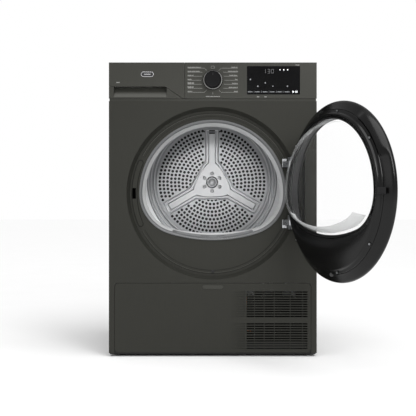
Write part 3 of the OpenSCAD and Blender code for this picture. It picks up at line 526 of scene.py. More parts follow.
class BuildStage(bpy.types.Operator):
    """Adds the camera, the floor and the lights"""

    bl_idname = "dryer.build_stage"
    bl_label = "Stage"

    def execute(self, context):
        studio = context.scene.dryer_studio
        lens = bpy.data.cameras.new("camera")
        lens.lens = studio.lens
        lens.clip_end = 100
        camera = bpy.data.objects.new("camera", lens)
        camera.location = (studio.eye_side, -studio.eye_distance, studio.eye_height)
        camera.rotation_euler = (radians(90), 0, 0)
        link(camera)
        context.scene.camera = camera
        context.scene.view_settings.view_transform = "Standard"
        self.floor(context)
        self.lights(context)
        return {"FINISHED"}

    def floor(self, context):
        reach = 30
        mesh = bpy.data.meshes.new("floor")
        mesh.from_pydata([(-reach, -reach, 0), (reach, -reach, 0), (reach, reach, 0),
                          (-reach, reach, 0)], [], [(0, 1, 2, 3)])
        floor = bpy.data.objects.new("floor", mesh)
        mesh.materials.append(finish("studio_floor", (0.93, 0.93, 0.93, 1), 0.9, mottle=0.01,
                                     grain=4, bump=0.0))
        link(floor)

    def lights(self, context):
        world = bpy.data.worlds.new("studio")
        world.use_nodes = True
        nodes, links = world.node_tree.nodes, world.node_tree.links
        sky = nodes["Background"]
        sky.inputs["Color"].default_value = (1, 1, 1, 1)
        sky.inputs["Strength"].default_value = 0.5
        backdrop = nodes.new("ShaderNodeBackground")
        backdrop.inputs["Color"].default_value = (1, 1, 1, 1)
        seen = nodes.new("ShaderNodeLightPath")
        either = nodes.new("ShaderNodeMixShader")
        links.new(seen.outputs["Is Camera Ray"], either.inputs[0])
        links.new(sky.outputs[0], either.inputs[1])
        links.new(backdrop.outputs[0], either.inputs[2])
        links.new(either.outputs[0], nodes["World Output"].inputs["Surface"])
        context.scene.world = world
        sun = bpy.data.lights.new("overhead_light", "SUN")
        sun.energy = 2.0
        sun.angle = radians(60)
        overhead = bpy.data.objects.new("overhead_light", sun)
        overhead.rotation_euler = (radians(24), radians(8), 0)
        link(overhead)
        for name, kind, place, aim, size, power in (
                ("key_light", "AREA", (1.5, -3.0, 2.1), (0.1, 0, 0.6), 1.2, 40),
                ("fill_light", "AREA", (-2.8, -2.6, 1.6), (0, 0, 0.5), 1.8, 10),
                ("drum_light", "SPOT", (-0.05, -3.2, 0.8), (0, 0.4, 0.5), 0.2, 24)):
            lamp = bpy.data.lights.new(name, kind)
            lamp.energy = power
            if kind == "AREA":
                lamp.size = size
            else:
                lamp.shadow_soft_size = size
                lamp.spot_size = radians(11)
                lamp.spot_blend = 0.8
            light = bpy.data.objects.new(name, lamp)
            light.location = place
            light.rotation_euler = (Vector(aim) - Vector(place)).to_track_quat(
                "-Z", "Y").to_euler()
            link(light)


class BuildCabinet(bpy.types.Operator):
    """Finishes the cabinet's panels and adds their pressed beads, lines of painted shade and
    highlight, and screws
    """

    bl_idname = "dryer.build_cabinet"
    bl_label = "Cabinet"

    def execute(self, context):
        finish_nodes(paint("dark_metallic_paint"), "front_panel", "side_panel_left",
                     "side_panel_right")
        finish_nodes(plain("worktop_laminate"), "worktop")
        finish_nodes(plain("moulded_black"), "base_pan", "foot_front_left", "foot_front_right",
                     "foot_rear_left", "foot_rear_right")
        # The latch catch takes a dull near-black: painted shade for the dark of its slot.
        finish_nodes(plain("deep_black"), "door_catch")
        # The rear sheets' inner faces are black as painted shade behind the drum's holes.
        finish_nodes(sheet_with_painted_shade(), "rear_panel", "rear_duct_cover")
        finish_nodes(plain("enamel_black"), "roller_brackets")
        finish_nodes(plain("rubber"), "mains_gland")
        self.rear_details()
        self.side_beads()
        self.front_details()
        return {"FINISHED"}

    def rear_details(self):
        cover_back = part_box("rear_duct_cover")[1].y / MM
        centre = (0, DRUM_Z)
        rings = [lathe([(r - 5, cover_back + 0.01), (r - 3, cover_back + 1.0),
                        (r + 3, cover_back + 1.0), (r + 5, cover_back + 0.01)], centre, closed=True)
                 for r in (70, 120, 170, 215)]
        ribs = [turned(block((-3, cover_back, DRUM_Z / MM + 75), (3, cover_back + 0.9,
                                                                DRUM_Z / MM + 115)), a, centre)
                for a in range(0, 360, 45)]
        add_piece("rear_cover_ribs", join(*rings, *ribs), "cabinet",
                  plain("galvanised"), bevel=0.4)
        panel_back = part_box("rear_panel")[1].y / MM
        heads = []
        half = BODY_HIGH.x / MM - 20
        for x in (-half, half):
            for z in range(70, 830, 108):
                heads.append(lathe([(4.2, panel_back), (4.2, panel_back + 1.4),
                                    (3.4, panel_back + 2.2), (0.6, panel_back + 2.2),
                                    (0.5, panel_back + 1.2)], (x * MM, z * MM), steps=20))
        add_piece("rear_screws", join(*heads), "cabinet", plain("zinc_plate"))

    def side_beads(self):
        half = BODY_HIGH.x / MM
        shapes = []
        for side in (-1, 1):
            for y0, y1 in ((70, 300), (320, 530)):
                for z0, z1 in ((70, 420), (450, 780)):
                    shapes.append(self.bead_frame(side, half, y0, y1, z0, z1))
        add_piece("side_beads", join(*shapes), "cabinet",
                  paint("dark_metallic_paint"), bevel=0.25)

    def bead_frame(self, side, half, y0, y1, z0, z1):
        """A low raised frame pressed into a side sheet."""
        wide, proud = 7, 0.02
        outer = round_outline(y0, z0, y1, z1, 24)
        inner = round_outline(y0 + wide, z0 + wide, y1 - wide, z1 - wide, 17)
        def ring(outline, x):
            return [Vector((side * x * MM, p[0], p[1])) for p in outline]
        return loft([ring(outer, half - 0.6), ring(outer, half + proud),
                     ring(inner, half + proud), ring(inner, half - 0.6)], closed=True)

    def front_details(self):
        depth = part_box("front_panel")[1].y / MM - 1.2
        centre = (0, PORT_Z)
        self.pocket_edge(depth, centre)
        pin = lathe([(4.6, depth), (4.6, depth - 1.6), (3.4, depth - 2.2), (2.4, depth - 2.0),
                     (2.4, depth + 0.5)], (0, PORT_Z - 226 * MM), steps=28)
        add_piece("closing_stop", pin, "cabinet", plain("moulded_black"))

    def pocket_edge(self, depth, centre):
        """The pressed lip round the finger pocket beside the latch, coloured dark as painted shade.
        """
        turn = 23

        def outline(grow):
            near, far = 219.5 - grow, 234 + grow
            low, high = 180 - turn, 180 + turn
            middle, half = (near + far) / 2, (far - near) / 2
            ends = [arc(0, 0, middle, angle, angle, 1)[0] for angle in (high, low)]
            return (arc(0, 0, far, low, high, 32)
                    + arc(*ends[0], half, high, high + 180, 12)[1:-1]
                    + arc(0, 0, near, high, low, 32)
                    + arc(*ends[1], half, low + 180, low + 360, 12)[1:-1])

        def at(grow, y):
            return [Vector((x * MM, y * MM, centre[1] + z * MM)) for x, z in outline(grow)]

        # The lip is coloured with painted shade.
        lip = loft([at(1.6, depth + 0.2), at(0.9, depth - 0.9), at(-0.3, depth - 0.9),
                    at(-1.2, depth + 0.2)], closed=True)
        add_piece("finger_pocket_lip", lip, "cabinet", paint("painted_shade_paint"), sharp=60)
        # Three thin rings in the recess: the outer and inner in painted shade, the middle one a
        # painted highlight.
        for name, radius, coat in (("recess_line_outer", 231.5, "painted_shade_paint"),
                                    ("recess_line_highlight", 229.6, "painted_highlight_paint"),
                                    ("recess_line_inner", 222.6, "painted_shade_paint")):
            section = ((-0.7, 0.2), (-0.4, -0.5), (0.4, -0.5), (0.7, 0.2))
            paths = [arc(0, 0, radius + across, 208, 512, 180) for across, _ in section]
            loops = [[Vector((path[step][0], depth + sink, path[step][1])) * MM
                      + Vector((0, 0, centre[1])) for path, (_, sink) in zip(paths, section)]
                     for step in range(181)]
            line = loft(loops, cap_start=True, cap_end=True)
            add_piece(name, line, "cabinet", paint(coat), sharp=60)


class BuildPorthole(bpy.types.Operator):
    """Builds the grey tunnel between the door's recess and the drum, and the lint filter"""

    bl_idname = "dryer.build_porthole"
    bl_label = "Porthole"

    def execute(self, context):
        self.tunnel()
        finish_nodes(plain("filter_grey"), "filter_chute", "lint_filter")
        finish_nodes(filter_cloth(), "lint_mesh")
        finish_nodes(plain("felt"), "front_felt")
        self.filter_dots()
        return {"FINISHED"}

    def tunnel(self):
        finish_nodes(plain("tunnel_grey"), "porthole_collar")
        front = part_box("porthole_collar")[0].y / MM
        radius, drop = 211.4, 134.1
        section = ((1.8, 3.2), (1.8, 0.8), (0.6, -0.6), (-1.0, -0.9), (-3.0, 0.2), (-5.6, 2.4),
                   (-7.2, 5.0), (-7.4, 6.2), (-6.6, 6.8), (-3.2, 3.8), (-2.2, 3.2))
        bead = loft([d_loop(radius + grow, drop + grow * (1 if grow > -3 else 0.82),
                            front + depth) for grow, depth in section], closed=True)
        add_piece("porthole_bead", bead, "cabinet", plain("rim_grey"), sharp=50)

    def filter_dots(self):
        """Rows of small raised dots over the lint filter's hollow top, but for two slots."""
        low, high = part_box("lint_filter")
        arch, top, pitch = 448, 116, 5.4
        centre_z = PORT_Z / MM + 440 - top
        count = int((high.x - low.x) / MM / pitch) - 4
        shapes = []
        for row in range(4):
            y = low.y / MM + 3 + row * pitch
            for step in range(count):
                x = (step - (count - 1) / 2 + 0.5 * (row % 2)) * pitch
                if 10 < abs(x) < 36 and 0 < row < 3:
                    continue
                reach = arch + 2.4 - row * 1.23
                shapes.append(self.dot(x, y, centre_z - sqrt(reach ** 2 - x ** 2)))
        add_piece("filter_dots", join(*shapes), "filter", plain("moulded_grey"))

    def dot(self, x, y, z):
        points = []
        for radius, lift in ((1.9, -0.5), (1.8, 0.5), (1.1, 0.9)):
            points.append([Vector((x + radius * cos(tau * s / 8),
                                   y + radius * sin(tau * s / 8), z + lift)) * MM
                           for s in range(8)])
        return loft(points, cap_start=True, cap_end=True)


class BuildControls(bpy.types.Operator):
    """Builds the fascia, its printed marks, the knob, the display and the tank drawer"""

    bl_idname = "dryer.build_controls"
    bl_label = "Controls"

    def execute(self, context):
        finish_nodes(paint("fascia_paint"), "control_fascia")
        finish_nodes(drawer_paint_with_painted_shade(), "tank_front")
        finish_nodes(plain("moulded_white"), "water_tank", "control_board")
        finish_nodes(plain("moulded_grey"), "tank_guide")
        finish_nodes(plain("board_green"), "display_board")
        finish_nodes(plain("screen_black"), "display_glass")
        self.marks()
        self.knob(context.scene.dryer_finish)
        self.display()
        self.badge()
        return {"FINISHED"}

    def words(self, x0, x1, z, height):
        """A row of small blocks, as long as a short label."""
        shapes, x, turn = [], x0, 0
        widths = (1.5, 1.1, 1.6, 0.9, 1.4)
        while x < x1 - 1:
            width = widths[turn % len(widths)]
            tall = height if turn % 4 else height * 1.25
            shapes.append(block((x, -0.06, z), (min(x + width, x1), 0.05, z + tall)))
            x += width + (0.5 if turn % 6 != 5 else 1.4)
            turn += 1
        return join(*shapes)

    def marks(self):
        knob_low, knob_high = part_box("knob")
        centre_x = (knob_low.x + knob_high.x) / 2 / MM
        centre_z = (knob_low.z + knob_high.z) / 2 / MM
        left = ((38, 2.0), (35, 2.0), (17, 2.0), (12, 2.0), (18, 3.6), (17, 3.6), (14, 2.0))
        right = ((18, 2.0), (28, 2.0), (24, 2.0), (8, 2.0), (16, 2.0), (26, 2.0), (11, 2.0))
        shapes = []
        for row in range(7):
            z = centre_z + 34.0 - 11.55 * row
            rise = z - centre_z
            end = sqrt(33.5 ** 2 - rise ** 2) if abs(rise) < 33 else 14
            for side, (length, tall) in ((-1, left[row]), (1, right[row])):
                x_far, x_near = 72.0, max(end, 24 if row in (0, 6) else 30)
                low_x, high_x = sorted((side * x_far, side * x_near))
                shapes.append(block((centre_x + low_x, -0.05, z - 0.35),
                                    (centre_x + high_x, 0.05, z + 0.35)))
                start, stop = sorted((side * x_far, side * (x_far - length)))
                shapes.append(self.words(centre_x + start, centre_x + stop, z + 1.4, tall))
                if row in (0, 6):
                    shapes.append(self.slanted(centre_x, z, side, 1 if row else -1))
        shapes.append(self.words(centre_x - 20, centre_x + 21, centre_z - 48.5, 2.2))
        shapes.append(block((centre_x - 0.4, -0.05, centre_z - 41), (centre_x + 0.4, 0.05,
                                                                   centre_z - 34.5)))
        ring, hole = (circle(centre_x, centre_z + 36.6, r, 8, squash=0.8) for r in (5.6, 4.9))
        shapes.append(self.outline_ring(ring, hole))
        shapes.append(self.words(-276.5, -268, 786, 2.6))
        shapes.append(self.words(238, 249, FASCIA_Z / MM + 94.6, 2.0))
        for x in (127, 148.5):
            shapes.append(self.words(x, x + 7, FASCIA_Z / MM + 3.0, 2.6))
        add_piece("printed_marks", join(*shapes), "cabinet", plain("print_grey"))

    def slanted(self, centre_x, z, side, slope):
        """The short slanted end of a leader line."""
        near, far, rise = 17.0, 24.2, 7.2 * slope
        points = [(far, z - 0.4), (far, z + 0.4), (near, z + rise + 0.4), (near, z + rise - 0.4)]
        return prism([((centre_x + side * x) * MM, zz * MM) for x, zz in points],
                     -0.05 * MM, 0.05 * MM)

    def outline_ring(self, outer, inner):
        def at(points, y):
            return [Vector((x, y * MM, z)) for x, z in points]
        return loft([at(outer, 0.05), at(outer, -0.06), at(inner, -0.06), at(inner, 0.05)],
                    closed=True)

    def knob(self, settings):
        low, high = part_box("knob")
        centre = ((low.x + high.x) / 2, (low.z + high.z) / 2)
        front, reach = low.y / MM, settings.knob_radius / MM
        body = lathe([
            (0, front + 0.9), (18.6, front + 0.9), (20.6, front + 0.5), (21.6, front),
            (22.6, front + 0.1), (23.6, front + 0.9), (24.0, front + 2.4), (24.4, front + 12),
            (24.7, -5.5), (25.2, -4.2)], centre, steps=160)
        skirt = lathe([(25.0, -4.6), (reach - 1.2, -4.4), (reach - 0.3, -3.9), (reach, -3.0),
                       (reach, -1.3), (reach - 0.5, -0.9), (20, -0.9), (20, -2.6)],
                      centre, steps=128, closed=True)
        add_piece("knob_cap", body, "programme_knob", plain("knob_black"),
                  replaces=("knob",), sharp=60)
        add_piece("knob_skirt", skirt, "programme_knob", plain("gloss_black"),
                  sharp=50)
        ring = lathe([(24.9, -5.9), (25.9, -6.1), (26.7, -5.5), (26.7, -4.3), (24.9, -4.3)],
                     centre, closed=True)
        add_piece("knob_ring", ring, "programme_knob", plain("print_grey"), sharp=50)
        flutes = []
        for step in range(60):
            flute = block((centre[0] / MM - 0.35, front + 4, centre[1] / MM + 24.0),
                          (centre[0] / MM + 0.35, -6.4, centre[1] / MM + 24.95))
            flutes.append(turned(flute, 6 * step, centre))
        add_piece("knob_flutes", join(*flutes), "programme_knob",
                  plain("knob_black"), bevel=0.2)
        line = block((centre[0] / MM - 0.6, front + 0.5, centre[1] / MM + 11),
                     (centre[0] / MM + 0.6, front + 1.2, centre[1] / MM + 17.5))
        add_piece("knob_pointer", line, "programme_knob", plain("moulded_black"),
                  bevel=0.15)

    def display(self):
        x0, face, z0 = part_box("display_glass")[0] / MM
        digits, lamps, labels = [], [], []
        for x, segments in ((46.5, "bc"), (59.0, "abgcd"), (69.5, "abcdef")):
            digits += self.digit(x0 + x, z0 + 60.5, segments, face)
        for x, z, size in ((94.5, 70.5, 1.4), (105.5, 70.5, 1.7), (116.5, 70.5, 1.7)):
            lamps.append(self.spot(x0 + x, z0 + z, size, face))
        for x, z, size in ((9.5, 43, 2.0), (31, 23.5, 2.0), (52.5, 33, 1.8), (74, 23.5, 1.6),
                           (116, 23.5, 1.9)):
            labels.append(self.spot(x0 + x, z0 + z, size, face))
        for x in (10, 31, 52.5, 74, 95, 116):
            labels.append(moved(self.words(x0 + x - 7, x0 + x + 7, z0 + 6.0, 2.4),
                                Matrix.Translation((0, (face - 0.05) * MM, 0))))
        for x in (20.5, 41.5, 63.5, 84.5, 105.5):
            labels.append(block((x0 + x - 0.3, face - 0.1, z0 + 4.5),
                                (x0 + x + 0.3, face + 0.1, z0 + 10.5)))
        start = self.arrow(x0 + 133, z0 + 7.5, face)
        pause = [block((x0 + x, face - 0.12, z0 + 4.6), (x0 + x + 1.7, face + 0.1, z0 + 10.4))
                 for x in (139.2, 142.6)]
        add_piece("display_digits", join(*digits), "cabinet",
                  glowing("digits_glow", linear(150, 150, 152), 0.25))
        add_piece("display_lamps", join(*lamps, start, *pause), "cabinet",
                  glowing("lamps_glow", linear(235, 238, 240), 0.9))
        add_piece("display_labels", join(*labels), "cabinet",
                  glowing("labels_glow", linear(140, 142, 145), 0.12))

    def digit(self, x, z, lit, face):
        """The lit bars of one seven-bar figure, with its lower left corner at x, z."""
        wide, tall, thick = 7.0, 12.0, 0.9
        bars = {
            "a": (x, z + tall - thick, x + wide, z + tall),
            "b": (x + wide - thick, z + tall / 2, x + wide, z + tall),
            "c": (x + wide - thick, z, x + wide, z + tall / 2),
            "d": (x, z, x + wide, z + thick),
            "e": (x, z, x + thick, z + tall / 2),
            "f": (x, z + tall / 2, x + thick, z + tall),
            "g": (x, z + tall / 2 - thick / 2, x + wide, z + tall / 2 + thick / 2),
        }
        inset = 0.25
        return [block((bars[key][0] + inset, face - 0.1, bars[key][1] + inset),
                      (bars[key][2] - inset, face + 0.1, bars[key][3] - inset)) for key in lit]

    def spot(self, x, z, radius, face):
        return prism(circle(x, z, radius, 16), (face - 0.1) * MM, (face + 0.1) * MM)

    def arrow(self, x, z, face):
        points = [(x - 2.2, z - 3.2), (x + 3.2, z), (x - 2.2, z + 3.2)]
        return prism([(px * MM, pz * MM) for px, pz in points], (face - 0.12) * MM,
                     (face + 0.1) * MM)

    def badge(self):
        low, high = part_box("badge_plate")
        x0, z0, x1, z1 = low.x / MM, low.z / MM, high.x / MM, high.z / MM
        face = low.y / MM
        radius = (z1 - z0) / 2 - 0.05
        plate = prism(round_outline(x0, z0, x1, z1, radius, 10), face * MM, 0.02 * MM)
        add_piece("badge_base", plate, "tank_drawer", plain("badge_metal"),
                  replaces=("badge_plate",), bevel=0.25)
        dark = prism(round_outline(x0 + 2, z0 + 2, x1 - 2, z1 - 2, radius - 2, 10),
                     (face - 0.12) * MM, face * MM + 0.00002)
        add_piece("badge_field", dark, "tank_drawer", plain("moulded_black"))
        bar = prism(round_outline(x0 + 9, z0 + 6, x1 - 9, z1 - 6, 1.4, 5),
                    (face - 0.3) * MM, face * MM)
        add_piece("badge_bar", bar, "tank_drawer", plain("badge_metal"), bevel=0.12)


class BuildDoorShell(bpy.types.Operator):
    """Builds the door's glossy outer ring, its inner frame and the wall of its opening"""

    bl_idname = "dryer.build_door_shell"
    bl_label = "Door shell"

    def execute(self, context):
        self.ring()
        self.frame()
        self.funnel()
        self.details()
        return {"FINISHED"}

    def pocket(self, depth, shift=0.0):
        """A hand pocket with steep ends, moulded into the free side's upper edge."""
        start, end, ramp = 121, 157, 2.4

        def wave(angle):
            degrees = math.degrees(angle)
            inside = min(1, max(0, (degrees - start) / ramp), max(0, (end - degrees) / ramp))
            return shift * inside, depth * inside
        return wave

    def hinge_gap(self):
        """The two slots in the hinge side where the cabinet's knuckles stand."""
        x0, x1 = HINGE.x / MM - 25.2, HINGE.x / MM + 32
        return [block((x0, outward(8.7), PORT_Z / MM + low), (x1, outward(-42), PORT_Z / MM + high))
                for low, high in ((60.8, 104.2), (-104.2, -60.8))]

    def cut_slots(self, piece):
        verts, faces = join(*self.hinge_gap())
        mesh = bpy.data.meshes.new("slot_cutter")
        mesh.from_pydata([tuple(v) for v in verts], [], faces)
        cutter = bpy.data.objects.new("slot_cutter", mesh)
        mesh.transform(DOOR_FROM_CLOSED)
        link(cutter)
        cut = piece.modifiers.new("slots", "BOOLEAN")
        cut.object = cutter
        cut.solver = "EXACT"
        bpy.context.view_layer.update()
        shaped = bpy.data.meshes.new_from_object(
            piece.evaluated_get(bpy.context.evaluated_depsgraph_get()))
        piece.modifiers.clear()
        piece.data = shaped
        shade(shaped, 40)
        bpy.data.objects.remove(cutter)

    def ring(self):
        sunk = self.pocket
        points = [
            (213.6, -6.6, None), (216.4, -9.8, None), (217.6, -9.8, None),
            (219.4, -8.2, sunk(1.5)), (222.6, -5.8, sunk(9.5)), (232.0, 0.4, sunk(7.5)),
            (235.6, 2.6, sunk(5.2)), (238.2, 5.0, sunk(2.6)), (239.4, 7.6, sunk(0.9)),
            (239.9, 10.2, None), (239.8, 12.0, None), (238.9, 14.8, None), (236.6, 17.2, None),
            (232.4, 19.2, None), (224, 20.8, None), (212, 20.4, None), (202, 16.6, None),
            (195.6, 12.6, None), (192.4, 9.6, None), (192.1, 7.8, None), (193.4, 7.1, None),
            (197, 8.7, None), (204, 13.3, None), (212.5, 17, None), (222.5, 17.5, None),
            (230.6, 15.4, None), (235.0, 12.4, None), (232.6, 7.6, sunk(2.2)),
            (224, 2.2, sunk(2.4))]
        loops = [round_loop(r, outward(n), wave) for r, n, wave in points]
        piece = add_piece("door_outer_ring", swung(loft(loops, closed=True)), "door",
                          plain("gloss_black"), replaces=("door_ring",), sharp=40)
        self.cut_slots(piece)

    def frame(self):
        rows = [
            (213.2, None, -6.8), (216.2, None, -10.2), (215.6, None, -12.2),
            (213.4, None, -13.4), (209.4, None, -13.8), (208.2, None, -14.8),
            (207.2, None, -19.2), (206.0, None, -21.0), (203.6, None, -21.9),
            (199.8, 124, -22.4), (199.0, 123, -22.0), (198.6, 122.6, -20.4),
            (197.2, 121.2, -20.4), (196.6, 120.4, -21.8), (192.6, 114.9, -21.6),
            (191.2, 113.4, -20.6), (191, 113, -18.8), (202, None, -18.4),
            (205, None, -11), (209.6, None, -7)]
        loops = [d_loop(r, drop, outward(n)) if drop else round_loop(r, outward(n))
                 for r, drop, n in rows]
        piece = add_piece("door_inner_frame", swung(loft(loops, closed=True)), "door",
                          plain("gloss_black"), replaces=("door_frame",), sharp=40)
        self.cut_slots(piece)

    def funnel(self):
        """The dark wall that runs from the inner frame's opening to the outer window."""
        rows = [
            (192, 114.5, -14.2, None), (191.6, 121, -7, 110), (191.2, 146, 0, 130),
            (190.6, 176, 4, 165), (190.4, None, 4.1, None), (193, None, 4.1, None),
            (194.6, 152, -0.6, 132), (195, 124.6, -8, 112), (196, 118.5, -14.2, None)]
        wall = loft([d_loop(r, drop, outward(n), corner) if drop else round_loop(r, outward(n))
                     for r, drop, n, corner in rows], closed=True)
        add_piece("door_opening_wall", swung(wall), "door",
                  plain("opening_wall"), sharp=60)

    def details(self):
        finish_nodes(plain("zinc_plate"), "door_hinge_arm", "door_screws", "hinge_bracket")
        finish_nodes(plain("satin_black"), "door_hook")
        wells = []
        for degrees in (38, 98, 142, 218, 262, 322):
            a = radians(degrees)
            centre = (211.4 * MM * cos(a), PORT_Z + 211.4 * MM * sin(a))
            wells.append(door_lathe([(5.0, -13.4), (5.0, -14.3), (4.2, -14.6), (3.4, -14.2),
                                     (3.4, -13.4)], centre, steps=24, closed=True))
        add_piece("screw_wells", join(*wells), "door", plain("gloss_black"),
                  sharp=60)
        buffer = door_lathe([(5.5, -9), (5.5, -13.4), (4.6, -14.6), (0, -14.9)],
                            (0, PORT_Z - 217 * MM), steps=28)
        add_piece("door_buffer", buffer, "door", plain("rubber"), sharp=50)


class BuildDoorGlass(bpy.types.Operator):
    """Builds the door's clear bowl with its ribbed floor, and the outer window"""

    bl_idname = "dryer.build_door_glass"
    bl_label = "Door glass"

    def execute(self, context):
        self.bowl()
        self.ribs(context.scene.dryer_finish.bowl_ribs)
        self.window()
        return {"FINISHED"}

    def bowl(self):
        radius, drop = 191, 113
        outside = [(6, 6, -14.8), (6, 6, -17.9), (-1, -1, -18.2), (-3, -3, -20.5),
                   (-6, -5, -25), (-8.5, -7.5, -30), (-15, -12, -42), (-19, -14.5, -47.5),
                   (-24, -18, -52), (-30, -22, -55.4), (-38, -28, -57.6), (-56, -40, -59)]
        inside = [(-56, -40, -56.6), (-38, -28, -55), (-31.5, -23.5, -53), (-26.5, -20, -49.8),
                  (-22, -17, -46), (-17.5, -14.2, -41), (-11, -9.8, -29), (-5, -5, -15.2)]
        loops = [d_loop(radius + a, drop + b, outward(n)) for a, b, n in outside + inside]
        verts, faces = loft(loops)
        first = len(outside) - 1
        size = LOFT_STEPS
        faces = [f for f in faces if not (f[0] // size == first and f[3] // size == first + 1)]
        faces.append(tuple(first * size + s for s in range(size)))
        faces.append(tuple((first + 1) * size + s for s in range(size - 1, -1, -1)))
        last = (len(loops) - 1) * size
        faces += [(last + s, last + (s + 1) % size, (s + 1) % size, s) for s in range(size)]
        glass = clear_plastic("bowl_clear", linear(205, 207, 207), 0.06, 0.01, 0.7)
        add_piece("door_clear_bowl", swung((verts, faces)), "door", glass,
                  replaces=("door_bowl",), sharp=50)

    def ribs(self, count):
        """Frosted ribs along the bowl's floor, standing just inside its wall."""
        radius, drop = 191, 113
        low, high = radians(200), radians(340)
        keep = [i for i, a in enumerate(loop_angles()) if low <= a <= high]
        steps = max(count, 1) * 2
        inner, outer = [], []
        for step in range(steps + 1):
            t = step / steps
            n = -22 - 27 * t
            inset = 5.0 + 18.5 * t ** 1.4
            crest = 0.8 if step % 2 else 0
            for rows, lift in ((inner, 2.4 + crest), (outer, 1.6)):
                loop = d_loop(radius - inset - lift, drop - inset * 0.84 - lift, outward(n))
                rows.append([loop[i] for i in keep])
        rows = inner + outer[::-1]
        width = len(keep)
        verts = [v for row in rows for v in row]
        faces = []
        for row in range(len(rows)):
            after = (row + 1) % len(rows)
            for i in range(width - 1):
                faces.append((row * width + i, row * width + i + 1, after * width + i + 1,
                              after * width + i))
        faces.append(tuple(row * width for row in range(len(rows))))
        faces.append(tuple(row * width + width - 1 for row in reversed(range(len(rows)))))
        frosted = clear_plastic("bowl_frosted", linear(225, 226, 226), 0.4, 0.6, 0.92, 0.1)
        add_piece("bowl_ribbed_floor", swung((verts, faces)), "door", frosted,
                  sharp=30)

    def window(self):
        window = door_lathe([
            (0, 11.7), (60, 11.2), (120, 9.6), (180, 7.5), (190, 6.85), (195.9, 6.8),
            (195.9, 4.3), (190, 4.3), (180, 5.0), (120, 7.0), (60, 8.7), (0, 9.2)],
            (0, PORT_Z), steps=144)
        glass = clear_plastic("window_clear", linear(225, 228, 228), 0.05, 0.005, 0.2)
        add_piece("door_outer_window", window, "door", glass,
                  replaces=("door_window",), sharp=50)


